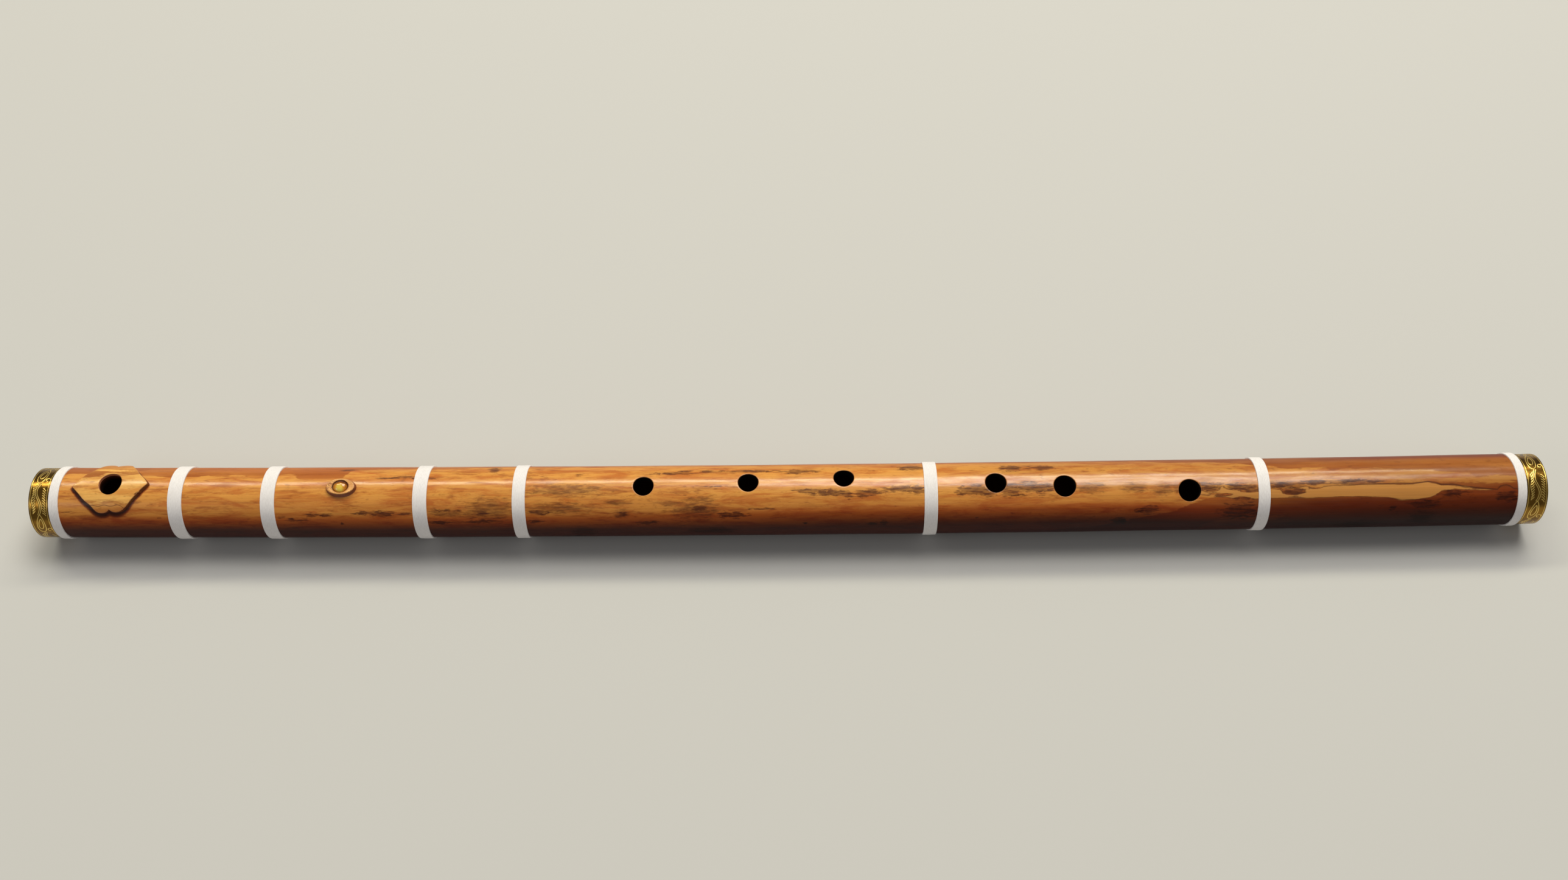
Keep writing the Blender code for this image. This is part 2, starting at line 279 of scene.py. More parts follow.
def wire(shader, relief=None, **inputs):
    """Feed the shader. The relief is a height, how strongly it shows, and its depth in mm."""
    if relief:
        height, strength, depth = relief
        bump = {"Height": height, "Strength": strength, "Distance": depth * MM}
        inputs["Normal"] = put("ShaderNodeBump", bump).outputs["Normal"]
    for label, value in inputs.items():
        feed(shader.inputs[label.replace("_", " ")], value)


# %% [markdown]
# ## Three effects that several materials share
# Fibres: bamboo and wood are bundles of fibres, which show as lines far longer than wide.
# Border: oil and fungus colour bamboo in zones whose edges are crisp and wavy, because
# they follow the fibres, often with a thin dark line on the very edge. The group takes a
# field that is positive inside a zone, and lets noise move the edge to and fro.
# Flecks: small dark dashes and pits, gathered in clusters. Each effect is a node group,
# made once and used with its own values in each material.

# %% Node groups: fibres, border, flecks
fibres, given, result = new_group("fibres", ["Lines", "Flow"], Along=30, Across=2600)
scale = put("ShaderNodeCombineXYZ", {0: given["Along"], 1: given["Across"], 2: given["Across"]})
inputs = {0: given["Vector"], 1: scale.outputs[0]}
fine = put("ShaderNodeVectorMath", inputs, operation="MULTIPLY").outputs[0]
feed(result["Lines"], noise(fine, 2))
feed(result["Flow"], noise(stretch(fine, 0.35, 0.06), 4, 0.6))

border, given, result = new_group(
    "wavy_border", ["Inside", "Edge Line"], Field=0, Waver=1, Edge=0.1, Line=0.1)
waver = calc("SUBTRACT", noise(given["Vector"], 5, 0.6, 0.4), 0.5)
field = calc("ADD", given["Field"], times(waver, given["Waver"]))
feed(result["Inside"], soft_step(field, times(given["Edge"], -1), given["Edge"]))
feed(result["Edge Line"], soft_step(calc("ABSOLUTE", field), given["Line"], 0))

flecks, given, result = new_group("flecks", ["Mask"], Amount=0.4, Edge=0.04)
clusters = noise(stretch(given["Vector"], 0.13, 0.13), 2)
crowd = calc("ADD", noise(given["Vector"], 2, 0.6), times(calc("SUBTRACT", clusters, 0.5), 0.5))
threshold = calc("SUBTRACT", 1, given["Amount"])
feed(result["Mask"], soft_step(crowd, threshold, calc("ADD", threshold, given["Edge"])))
print("node groups:", [group.name for group in bpy.data.node_groups])

# %% [markdown]
# ## Outline of the lip plate
# A thin plate of bamboo is glued on round the blowing hole, for the player's lower lip. Its
# edge has two lobes and a notch on each long side and a point at each end: arcs joined
# by straight edges, slightly uneven from the carving, with two tiny knobs at its right. It is
# drawn first, laid flat, because a painted shadow along it darkens the tube there.

# %% Edge of the lip plate, laid flat
LOBE_PLACE, LOBE_SIDE, LOBE_RADIUS = 2.75 * MM, 7.9 * MM, 3.6 * MM
TIP_PLACE, TIP_SIDE, TIP_RADIUS = 13.05 * MM, -0.7 * MM, 0.8 * MM
KNOBS, KNOB_SIZE = np.array([(10.4, -4.2), (11.1, -3.5)]) * MM, 0.35 * MM
PLATE_TURN = np.radians(2.6)
PLATE_TOP = 14.45 * MM
PLATE_FOOT = 13.1 * MM
PLATE_CORNER = 0.3 * MM


def arc(middle, radius, start, end, count):
    """Points on an arc: middle + radius (cos t, sin t), both ends included."""
    t = np.linspace(start, end, count)
    return middle + radius * np.stack([np.cos(t), np.sin(t)], -1)


def plate_edge():
    """Edge of the plate: lobe arc, straight edge, tip arc, straight edge, lobe arc, mirrored.

    A straight edge touches a lobe and the tip, so its normal makes the angle
    acos((R - r) / d) with the line between their middles.
    """
    tip = np.array([TIP_PLACE, TIP_SIDE])
    notch = np.arccos(-LOBE_PLACE / LOBE_RADIUS)
    normals = []
    for side in (1, -1):
        line = tip - (LOBE_PLACE, side * LOBE_SIDE)
        spread = np.arccos((LOBE_RADIUS - TIP_RADIUS) / np.hypot(*line))
        normals.append(np.arctan2(line[1], line[0]) + side * spread)
    lobe_up = arc((LOBE_PLACE, LOBE_SIDE), LOBE_RADIUS, notch, normals[0], 26)
    point = arc(tip, TIP_RADIUS, *normals, 14)
    lobe_down = arc((LOBE_PLACE, -LOBE_SIDE), LOBE_RADIUS, normals[1], -notch, 26)
    upper = np.linspace(lobe_up[-1], point[0], 24)[1:-1]
    lower = np.linspace(point[-1], lobe_down[0], 52)[1:-1]
    half = np.concatenate([lobe_up, upper, point, lower, lobe_down])
    cos, sin = np.cos(PLATE_TURN), np.sin(PLATE_TURN)
    return np.concatenate([half, (half * (-1, 1))[-2:0:-1]]) @ np.array([[cos, sin], [-sin, cos]])


edge = plate_edge()
edge_turn = np.arctan2(edge[:, 1], edge[:, 0])
carved = 1 + 0.008 * np.sin(7 * edge_turn + 1) + 0.006 * np.sin(12 * edge_turn)
knob = np.exp(-((edge[:, None] - KNOBS) ** 2).sum(-1) / KNOB_SIZE ** 2).sum(-1)
edge = edge * (carved + 0.022 * knob)[:, None]
print("lip plate: %d points on its edge, %.1f x %.1f mm" % (len(edge), *np.ptp(edge, axis=0) / MM))

# %% [markdown]
# ## Where the bamboo changes colour
# The real flute's mottling has a lasting pattern: a golden zone runs along the top, with
# dark olive streaks below it at the head, khaki clouds before the first finger hole, a
# chain of olive smudges beside the holes, and a pale streak with a dark edge at the foot.
# They are listed one by one, each as (place in mm, angle in degrees, half length in mm, half
# width in degrees), and the border group gives them their ragged edges. The underside,
# which can't be seen, gets spots of the same sizes from a seeded random generator. The
# player's side is painted darker downwards as painted shade, and so are the top edge and the
# foot, and a painted shadow lies under the lip plate. The crown, where fingers rub, is the glossiest.

# %% Spots and zones of colour
OLIVE_SPOTS = [
    (156.1, -49.6, 7.2, 5), (168.3, -51.2, 5.7, 6.6), (172.1, -43.5, 8, 17.7), (199.9, -12, 13.7, 9),
    (197.6, -41, 11.4, 8), (220.8, -51.2, 2.7, 6.6), (218.9, -33, 5, 4.4), (248.8, -49, 7.6, 14.5),
    (249.6, -30, 5, 5), (238.3, -34, 4.7, 3.6), (393.9, -16.5, 5.3, 8.3), (409.9, -17.3, 4.6, 7.5),
    (420.1, -21.4, 3.4, 8.3), (425.7, -20.6, 2.3, 7.5), (466, -15.5, 9.5, 5), (489.5, -13.8, 9.5, 4.5),
    (450, -19, 4.5, 6), (469.5, -29, 2.6, 7), (483, -27, 2.4, 5),
]
BROWN_SPOTS = [
    (105.6, -50.7, 2.3, 3.8), (111.1, -50.7, 2.9, 2.8), (94.4, -54.6, 1.3, 2.3), (100.1, -59.2, 3.2, 3),
    (124.7, -48.4, 3.8, 2.8), (131.8, -48.8, 5.6, 4.8), (14.1, -45.6, 2.5, 1.7), (48.6, -55.2, 0.8, 2.3),
    (116.6, -67.3, 0.6, 2.8), (117.1, 34.4, 2.3, 2.8), (140.1, -48.4, 2.7, 2.8), (154.6, -43.8, 5.7, 2.5),
    (168.9, -49.9, 2.1, 3.6), (190, -48.6, 3.8, 3), (189, -64.2, 2.9, 2.7), (221.2, -51.7, 1.5, 3.8),
    (230.9, -68.3, 4, 3.8), (238.9, 19, 8.2, 3.6), (244.4, 25, 2.7, 3), (252.4, 23.3, 3, 4),
    (269.2, 24.6, 11.4, 3.3), (172.5, 34.9, 2.3, 7.6), (273, -44, 5.3, 1.7), (261.6, -54.6, 5.3, 5.6),
    (252.8, -8.5, 9.5, 1.3), (204.1, 17, 1.9, 2.3), (249.4, -44.3, 2.3, 5.3), (153.4, -65.8, 3.8, 3.6),
    (169.1, -63.7, 6.5, 2.5), (286.5, 21.6, 6.1, 5), (327.9, 28.9, 5.1, 7), (365, 24.1, 3.8, 7.5),
    (375.6, 24.3, 5.3, 5), (308.8, -50.6, 1.5, 1.3), (288.6, -71.5, 1, 2.4), (318, -72.8, 1.3, 5),
    (415.4, -54.1, 3.2, 7.1), (404.6, -74.4, 2.3, 8.3), (411.8, -54.6, 2.7, 3.3), (331, -40.8, 0.5, 1.8),
    (352, -64.8, 0.8, 2), (289.5, -15.5, 4.6, 3.6), (297.5, -19, 6.5, 5.2), (304.5, -23.5, 2.6, 5),
    (309.5, -24, 2.4, 4.6), (313, -19.5, 5.5, 4.6), (324.6, -14.2, 7.4, 4.8), (329.6, -16, 4.6, 7),
    (133, 12.6, 5, 2.2), (140, 14.6, 5, 1.6), (146.5, 11.6, 6, 2.6), (463.5, -16.6, 3.6, 3.6),
    (475, -13.4, 5.2, 3.4), (488.5, -11.6, 4.8, 3.2), (497, -13.4, 2.6, 2.4), (350.5, -17.5, 6, 8.6),
    (356, -21.5, 4.4, 7), (364.6, -19, 5.4, 9.6), (373.4, -15, 7.6, 9.6), (526.3, -35, 5.3, 5.3),
    (504.5, -57.9, 1.1, 4.3), (516, -50.7, 4.9, 6.1), (449, -58.7, 6.5, 14.1), (437.2, -15.6, 3, 2.5),
    (546.1, -41.3, 3.8, 8.3),
]
GOLD_SPOTS = [
    (95.5, 14.4, 4.4, 8.3), (29.9, 20, 10.3, 6.6), (76.7, 17.3, 3.8, 3.3), (214.7, 18.3, 1.9, 11.6),
    (170.6, 11.7, 6.5, 8.3), (400.8, -22, 3.2, 11), (132.6, 15, 4.9, 8.3),
]
# brown patches that break the pale streak
STREAK_CUTS = [
    (437, -18.5, 4.2, 7), (447, -18, 4.6, 5.6), (452.5, -25, 4.2, 3.4), (441.5, -31.5, 5, 2.2),
    (462, -20, 3.6, 3.4), (468, -28, 4.4, 5.4), (449, -36.5, 4, 2.4), (476, -21, 3.4, 2),
]
# (place in mm, angle in degrees) along the upper and lower edges of the golden zone
GOLD_UPPER = [
    (0, 22), (11, 23), (31, 28), (42, 20), (58, 15), (73, 20), (87, 13), (93, 7), (106, 10), (113, 13),
    (117, 16), (119, 36), (137, 42), (149, 38), (163, 44), (186, 48), (300, 48), (400, 44), (440, 34),
    (470, 14), (520, 6), (535, -4), (561, -8),
]
GOLD_LOWER = [
    (0, -110), (340, -110), (395, -88), (418, -64), (430, -46), (438, -36), (448, -27), (561, -17),
]
# the same for the pale streak at the foot, whose upper edge is a dark line
STREAK_UPPER = [
    (425, -24), (431, -21.4), (434, -18), (440, -16.5), (446, -19), (455, -20.4), (460, -19),
    (466, -20.4), (480, -20.4), (497, -17.5), (511, -18.4), (517, -15.5), (519.5, -17), (522, -21),
    (527, -21.4), (532, -25), (538, -28.5), (542.5, -30), (543.3, -26), (544.4, -24), (546.4, -24),
    (547.6, -26.5), (548.2, -29.5), (561, -31),
]
STREAK_LOWER = [
    (425, -23), (431, -29.7), (434, -30.7), (440, -33), (446, -37), (455, -38.3), (466, -38),
    (480, -38.3), (488, -37.3), (497, -38.3), (503, -40.3), (507, -44.6), (513, -44.3), (519, -39.7),
    (522, -31), (527, -28), (532, -29.5), (538, -31.5), (544, -32), (561, -33),
]
chance = np.random.default_rng(11)


def hidden_spots(count, longest, widest):
    """Random spots for the underside, from 75 to 290 degrees round."""
    return np.stack([
        chance.uniform(5, 555, count), chance.uniform(75, 290, count),
        chance.uniform(0.25, 1, count) * longest, chance.uniform(0.3, 1, count) * widest,
    ], -1).tolist()


GOLD_SPOTS += hidden_spots(26, 22, 26)
BROWN_SPOTS += STREAK_CUTS + hidden_spots(34, 9, 7)
OLIVE_SPOTS += hidden_spots(14, 12, 14)
print("spots:", len(OLIVE_SPOTS), "olive,", len(BROWN_SPOTS), "brown,", len(GOLD_SPOTS), "gold")

# %% [markdown]
# Each zone becomes a field, a number for every point of the bamboo that is positive inside
# the zone and falls smoothly past its edge. Below, p is a place in mm and a is an angle in
# degrees.

# %% Distances inside spots, between lines and from the plate
TUBE_RADIUS = 13.25 * MM
ARC_OF_DEGREE = np.radians(TUBE_RADIUS / MM)
MOUTH_PLACE = 30.3 * MM
# how far the lip plate's painted shadow is moved from its edge, in mm towards the head and downwards
SHADOW_BACK, SHADOW_DOWN = 0.45, 0.5
SHADOW_TOP, NO_SHADOW = 1.2, -0.6
NO_SPOT = -3.0
FAR = 9.0
# where the plate's painted shadow can reach, and the part of the tube whose dark line is a painted shadow
# line along the plate's edge
NEAR_PLACE, NEAR_ANGLE, HEAD_PART = 52, 70, 60
STREAK_END = 541


def ramp(value, start, full):
    """0 at the start and before it, 1 at full and beyond, and a straight slope between."""
    return np.clip((value - start) / (full - start), 0, 1)


def spots(p, a, listed):
    """Largest over the spots of 1 - distance, with the spot's half sizes as the units."""
    best = np.full(p.shape, NO_SPOT)
    for middle, turn, half_length, half_width in listed:
        away = (a - turn + 180) % 360 - 180
        best = np.maximum(best, 1 - np.hypot((p - middle) / half_length, away / half_width))
    return best


def between(p, a, upper, lower):
    """Distance in mm, round the tube, inside the nearer of two edges, negative outside."""
    top, bottom = (np.interp(p, *zip(*line)) for line in (upper, lower))
    return np.minimum(top - a, a - bottom) * ARC_OF_DEGREE


def off_the_plate(p, a):
    """Distance in mm from the lip plate's edge, moved to where its painted shadow lies.

    The nearest point of the edge gives the distance. It is negative where the spot is
    nearer to the plate's middle than the edge is in that direction.
    """
    along = (p + SHADOW_BACK) * MM - MOUTH_PLACE
    spot = np.stack([along, np.radians(a) * PLATE_TOP + SHADOW_DOWN * MM], -1)
    away = np.sqrt(((spot[:, None, :] - edge) ** 2).sum(-1).min(-1)) / MM
    reach = np.interp(np.arctan2(spot[:, 1], spot[:, 0]), edge_turn, np.hypot(*edge.T), period=2 * np.pi)
    return np.where(np.hypot(*spot.T) < reach, -away, away)


def beside_the_plate(p, a):
    """Distance from the plate's edge near it, FAR elsewhere, and a field for its painted shadow.

    The field falls in a straight line from its top value at the edge, so that it stays smooth
    between points. The painted shadow ends at its zero, 0.9 to 3 mm away, farthest under the lobes.
    """
    off, plate_shadow = np.full(p.shape, FAR), np.full(p.shape, NO_SHADOW)
    near = (p < NEAR_PLACE) & (abs(a) < NEAR_ANGLE)
    off[near] = off_the_plate(p[near], a[near])
    reach = np.interp(p, [15, 21, 27, 35, 41], [0.9, 2, 3, 2.8, 1.5])
    fall = np.maximum(SHADOW_TOP * (1 - off / reach), NO_SHADOW)
    plate_shadow[near] = (fall * np.maximum(ramp(a, 12, -12), 0.2))[near]
    return off, plate_shadow


# %% Fields for the colour, the gloss and the painted shade of the tube
def tone_of(p, a, off):
    """Fields of the tube: gold, brown and olive, then streak, dark line and painted shade.

    The painted shade darkens the colour where less light falls: it grows down the player's side
    from 22 to 45 degrees below the blowing hole's line and fades again on the underside, and it
    also darkens the top edge, and the foot above the streak.
    """
    gold = np.maximum(between(p, a, GOLD_UPPER, GOLD_LOWER), 3 * spots(p, a, GOLD_SPOTS))
    streak = np.minimum(between(p, a, STREAK_UPPER, STREAK_LOWER), (STREAK_END - p) / 3)
    streak = np.minimum(streak, -2.5 * spots(p, a, STREAK_CUTS))
    streak_line_and_plate_shadow = (a - np.interp(p, *zip(*STREAK_UPPER))) * ARC_OF_DEGREE
    # near the lip plate the dark line is a painted shadow line along the plate's edge
    streak_line_and_plate_shadow = np.where(p < HEAD_PART, off, streak_line_and_plate_shadow)
    # Painted shade: darker down the player's side, at the top edge, and above the streak at the foot.
    start = np.interp(p, [200, 240, 290, 320, 410, 450, 495, 561], [-45, -41, -34, -33, -30, -40, -25, -22])
    full = np.interp(p, [270, 320, 410, 475], [-88, -84, -82, -94])
    low_side = np.maximum(ramp(a, start, full) ** 0.85, 0.15 * ramp(a, -12, -32))
    low_side = low_side * np.maximum(ramp(a, -200, -140), 0.3)
    above_streak = np.interp(p, [460, 500, 525], [0, 0.2, 0.36]) * ramp(a, -10, -32) * ramp(a, -50, -42)
    high_side = np.interp(p, [0, 470, 505], [0.1, 0.14, 0.4]) * ramp(a, 26, 42) * ramp(a, 130, 80)
    painted_shade = np.max([low_side, above_streak, high_side], 0)
    tone = np.stack([gold, spots(p, a, BROWN_SPOTS), spots(p, a, OLIVE_SPOTS)], -1)
    return tone, np.stack([streak, streak_line_and_plate_shadow, painted_shade], -1)


def finish_of(p, a, plate_shadow):
    """Fields of the tube: how well it is rubbed, brown painted shade, and the plate's painted shadow."""
    rubbed = np.interp(a, [-180, -65, -30, 20, 38, 180], [0.04, 0.04, 1, 1, 0.08, 0.04])
    rubbed = rubbed * np.interp(p, [450, 530], [1, 0.55])
    low = np.maximum(ramp(a, -24, -12), ramp(p, 430, 480))
    foot = np.interp(p, [340, 370, 430, 475, 510], [0, 0.24, 0.28, 0.36, 0.57]) * low
    foot = np.maximum(foot, 0.88 * ramp(p, 432, 464) * ramp(a, -34, -40))
    upper = np.interp(p, [0, 60, 340, 400, 480, 505], [0.25, 0.1, 0.16, 0.24, 0.33, 0.4]) * ramp(a, 16, 38)
    brown_shade = (1 - (1 - foot) * (1 - upper)) * ramp(abs(a), 130, 90)
    return np.stack([rubbed, brown_shade, plate_shadow], -1)


print("one degree is %.3f mm round the tube" % ARC_OF_DEGREE)

# %% [markdown]
# ## Bamboo material
# The maker scrapes, oils and polishes the bamboo, so it has a soft coat over a warm body.
# The colour is built from the bottom: red-brown to amber by the flow of the fibres, then
# the golden zones, then olive and brown stains. Three glazes of painted shade are multiplied
# over these, so that the stains show through: a brown one for the foot and the top edge, and
# two for the dark side, red before dark. The painted shadow under the lip plate takes the
# brown glaze and the dark side's. The pale streak with its dark edge and the fibres come last.
# The holes have a light rim and are burnt dark inside by the hot iron that makes them, and
# their walls are painted darker still as painted shade. The tube and the lip plate use the
# same recipe with their own colours.

# %% Bamboo, for the tube and the lip plate
STAIN_OLIVE = paint(112, 66, 28)
STAIN_BROWN = paint(86, 42, 18)
FLECK = paint(128, 68, 26)
BROWN_SHADE_GLAZE = (0.38, 0.3, 0.23, 1)
RED_SHADE_GLAZE = (0.7, 0.36, 0.26, 1)
DARK_SHADE_GLAZE = (0.1, 0.05, 0.04, 1)
PALE_STREAK = paint(196, 136, 68)
STREAK_EDGE_AND_PLATE_SHADOW = paint(74, 32, 12)
RIM = paint(190, 128, 88)
END_GRAIN = paint(196, 142, 84)


def bamboo_material(name, deep, amber, gold, wall, bore, waver):
    """Polished bamboo whose zones come from the attributes tone, streak, inside and finish."""
    material, shader, here = new_material(name)
    labels = ("tone", "streak", "inside", "finish")
    tone, streak, inside, finish = (split(attribute(here, label, "Vector")) for label in labels)
    grain = use(fibres, Vector=here, Along=24, Across=2200)
    body = mix(soft_step(grain["Flow"], 0.3, 0.7), deep, amber)
    clouds = soft_step(noise(stretch(here, 18, 90)), 0.4, 0.8)
    body = mix(clouds, body, np.mean([amber, gold], 0).tolist())

    wide = stretch(here, 90, 420)
    zone = use(border, Vector=wide, Field=tone["X"], Waver=waver, Edge=0.3, Line=0.45)
    mottle = noise(stretch(here, 55, 300), 6, 0.68, 0.5)
    gold_tone = mix(soft_step(mottle, 0.35, 0.58, 0.05, 1), amber, gold)
    body = mix(times(zone["Inside"], 0.9), body, gold_tone)
    smudge = soft_step(noise(stretch(here, 75, 520), 6, 0.7, 0.3), 0.5, 0.68)
    x = split(here)["X"]
    body = mix(times(smudge, soft_step(x, 0.03, -0.03, 0.3, 0.66)), body, deep)
    body = mix(times(zone["Edge Line"], 0.45), body, deep)

    fine = stretch(here, 330, 1250)
    patchy = soft_step(noise(stretch(here, 210, 1400), 5, 0.65), 0.34, 0.62)
    olive = use(border, Vector=fine, Field=tone["Z"], Waver=2.6, Edge=0.5, Line=0.1)
    body = mix(times(olive["Inside"], scaled(patchy, 0.3, 0.86)), body, STAIN_OLIVE)
    brown = use(border, Vector=fine, Field=tone["Y"], Waver=3.4, Edge=0.35, Line=0.1)
    body = mix(times(brown["Inside"], scaled(patchy, 0.45, 0.95)), body, STAIN_BROWN)
    dash = use(flecks, Vector=stretch(here, 300, 900), Amount=0.42, Edge=0.24)
    body = mix(times(dash["Mask"], 0.55), body, FLECK)

    # Painted shade: a brown glaze for the foot, the top edge and the plate's painted shadow, then a red and
    # a dark glaze for the dark side and the plate's painted shadow.
    brown_shade = calc("MAXIMUM", finish["Y"], soft_step(finish["Z"], 0, 0.7, 0, 0.8))
    body = mix(brown_shade, body, BROWN_SHADE_GLAZE, "MULTIPLY")
    painted_shade = calc("MAXIMUM", streak["Z"], soft_step(finish["Z"], -0.1, 1, 0, 0.8))
    body = mix(soft_step(painted_shade, 0, 0.45), body, RED_SHADE_GLAZE, "MULTIPLY")
    body = mix(soft_step(painted_shade, 0.2, 0.95), body, DARK_SHADE_GLAZE, "MULTIPLY")

    pale = use(border, Vector=wide, Field=streak["X"], Waver=1.6, Edge=0.2, Line=0.3)
    body = mix(times(pale["Inside"], 0.85), body, PALE_STREAK)
    body = mix(times(pale["Edge Line"], 0.6), body, STREAK_EDGE_AND_PLATE_SHADOW)
    # Dark line: the streak's own dark edge at the foot, and at the head a painted shadow line along the lip
    # plate's edge.
    line = use(border, Vector=wide, Field=streak["Y"], Waver=1.5, Edge=0.1, Line=0.5)
    drawn = calc("ADD", soft_step(x, 0.205, 0.22, 0, 0.85), soft_step(x, -0.22, -0.225, 0, 0.85))
    body = mix(times(line["Edge Line"], drawn), body, STREAK_EDGE_AND_PLATE_SHADOW)
    body = mix(1, body, scaled(grain["Lines"], 0.78, 1.14), "MULTIPLY")

    rim = times(soft_step(inside["X"], 0, 0.12), soft_step(inside["X"], 0.6, 0.3, 0, 0.5))
    body = mix(rim, body, RIM)
    body = mix(inside["X"], body, wall)
    body = mix(inside["Y"], body, bore)
    bundles = soft_step(noise(stretch(here, 300, 1500), 1), 0.5, 0.62)
    body = mix(inside["Z"], body, mix(bundles, END_GRAIN, STAIN_BROWN))

    gloss = calc("ADD", scaled(grain["Lines"], 0.3, 0.44), times(olive["Inside"], 0.1))
    within = calc("MAXIMUM", inside["X"], calc("MAXIMUM", inside["Y"], inside["Z"]))
    polish = soft_step(noise(stretch(here, 120, 900), 4, 0.6), 0.35, 0.65, 0.45, 0.95)
    coat = times(calc("SUBTRACT", 1, within), times(polish, finish["X"]))
    height = calc("ADD", grain["Lines"], times(noise(stretch(here, 40, 260), 2), 7))
    wire(shader, (height, 0.35, 0.04), Base_Color=body, Coat_Weight=coat, Coat_Roughness=0.19,
         Roughness=calc("MAXIMUM", gloss, times(inside["X"], 0.8)), Specular_IOR_Level=0.1)
    return material


bamboo = bamboo_material(
    "bamboo", deep=paint(149, 77, 28), amber=paint(187, 107, 42), gold=paint(216, 151, 69),
    # the hole walls are burnt, and painted near black as painted shade in the holes
    wall=paint(12, 6, 4), bore=paint(84, 44, 20), waver=5)
lip_bamboo = bamboo_material(
    "lip_bamboo", deep=paint(150, 82, 32), amber=paint(204, 136, 62), gold=paint(229, 174, 92),
    wall=paint(96, 42, 20), bore=paint(206, 132, 96), waver=1.4)
print("materials:", bamboo.name, lip_bamboo.name)

# %% [markdown]
# ## Bamboo tube
# The tube is one closed grid: its profile runs along the skin, over the step under the
# sleeve, across the foot's end face, back through the bore and over the head's end face,
# and it is carried round the centre line. Round each hole a block of faces is left out,
# on the skin and in the bore, and rings of points join the two blocks: over the skin to a
# rounded rim, down the wall of the hole, and out to the bore. That gives clean round
# holes, which a Boolean on a fine mesh wouldn't.

# %% Sizes of the tube and its holes
BORE_RADIUS = 10 * MM
STEP_RADIUS = 12.45 * MM
HEAD_STEP = 7.7 * MM
FOOT_STEP = LENGTH - 7.9 * MM
MOUTH_LENGTH, MOUTH_WIDTH, MOUTH_RIM = 8.4 * MM, 8.9 * MM, 0.03 * MM
FINGER_HOLES = [
    (228.8, -5, 7.5), (267.6, 0, 7.5), (303, 7.3, 7.5), (359, -5.2, 7.7), (384.3, -12.3, 8.1),
    (430, -22.8, 8.1)]
RIM_ROUND = 0.32 * MM
# place, angle, length, width, rounding of the rim
HOLES = [(MOUTH_PLACE, 0, MOUTH_LENGTH, MOUTH_WIDTH, MOUTH_RIM)] + [
    (place * MM, np.radians(turn), size * MM, size * MM, RIM_ROUND) for place, turn, size in FINGER_HOLES]
AROUND = 96
CELLS = 16
PATCH = 7 * MM
SKIN_CELL = 1.2 * MM
BORE_CELL = 8 * MM


def skin_radius(place, angle):
    """Radius of the skin: 13.25 mm, plus slow waves of 0.05 mm along it and round it."""
    along = 0.028 * np.sin(place / (9.5 * MM) + 2 * np.sin(angle))
    round_it = 0.024 * np.cos(2 * angle + place / (34 * MM)) + 0.008 * np.cos(5 * angle + place / (21 * MM))
    return TUBE_RADIUS + (along + round_it - 0.01) * MM


def stations(cell):
    """Places along the tube: equal cells at the holes, and cells of about a size between."""
    last, parts = HEAD_STEP, []
    for place, *_ in HOLES:
        start, end = place - PATCH, place + PATCH
        parts.append(np.linspace(last, start, int(np.ceil((start - last) / cell)) + 1)[:-1])
        parts.append(np.linspace(start, end, CELLS + 1)[:-1])
        last = end
    parts.append(np.linspace(last, FOOT_STEP, int(np.ceil((FOOT_STEP - last) / cell)) + 1))
    return np.concatenate(parts)


skin_places = stations(SKIN_CELL)
bore_places = stations(BORE_CELL)
print("stations: %d on the skin, %d in the bore" % (len(skin_places), len(bore_places)))

# %% Closed profile of the tube, and the grid round it
def turns(count):
    """Equal angles for one full turn."""
    return np.arange(count) * 2 * np.pi / count


def quarter(count):
    """Rounded corner, as shares of its radius: 1 - sin t and 1 - cos t, t from 0 to 90 degrees."""
    t = np.linspace(0, np.pi / 2, count)
    return 1 - np.sin(t), 1 - np.cos(t)


def profile(end_places, end_radii, start, end, middle, middle_radii):
    """Places and radii along a piece whose two ends are mirror images of each other."""
    places = np.concatenate([start + end_places, middle, end - end_places[::-1]])
    return places, np.concatenate([end_radii, np.broadcast_to(middle_radii, len(middle)), end_radii[::-1]])


END_ROUND = 0.25 * MM
falls, rises = (END_ROUND * part for part in quarter(4))
head_places = np.concatenate([falls, falls[::-1]])
head_radii = np.concatenate([BORE_RADIUS + rises, STEP_RADIUS - rises[::-1]])
skin_line = np.concatenate([[HEAD_STEP], skin_places, [FOOT_STEP]])
line_radii = np.pad(np.full(len(skin_places), TUBE_RADIUS), 1, constant_values=STEP_RADIUS)
places, radii = profile(head_places, head_radii, 0, LENGTH, skin_line, line_radii)
places = np.append(places, bore_places[::-1])
radii = np.append(radii, np.full(len(bore_places), BORE_RADIUS))
rows = len(places)
first_skin = len(head_places) + 1
foot_face = first_skin + len(skin_places) + 1
first_bore = foot_face + len(head_places)
place_grid, angle_grid = np.meshgrid(places, turns(AROUND), indexing="ij")
radius_grid = np.repeat(radii[:, None], AROUND, 1)
skin_rows = slice(first_skin, foot_face - 1)
radius_grid[skin_rows] = skin_radius(place_grid[skin_rows], angle_grid[skin_rows])
inside_grid = np.zeros((rows, AROUND, 3))
inside_grid[first_bore:, :, 1] = 1
inside_grid[:len(head_places), :, 2] = 1
inside_grid[foot_face:first_bore, :, 2] = 1
print("tube grid: %d x %d" % (rows, AROUND))

# %% [markdown]
# The rings of one hole: every ring has a point for each point on the block's border, in
# the direction of that point as seen from the hole's middle, so the faces don't twist.

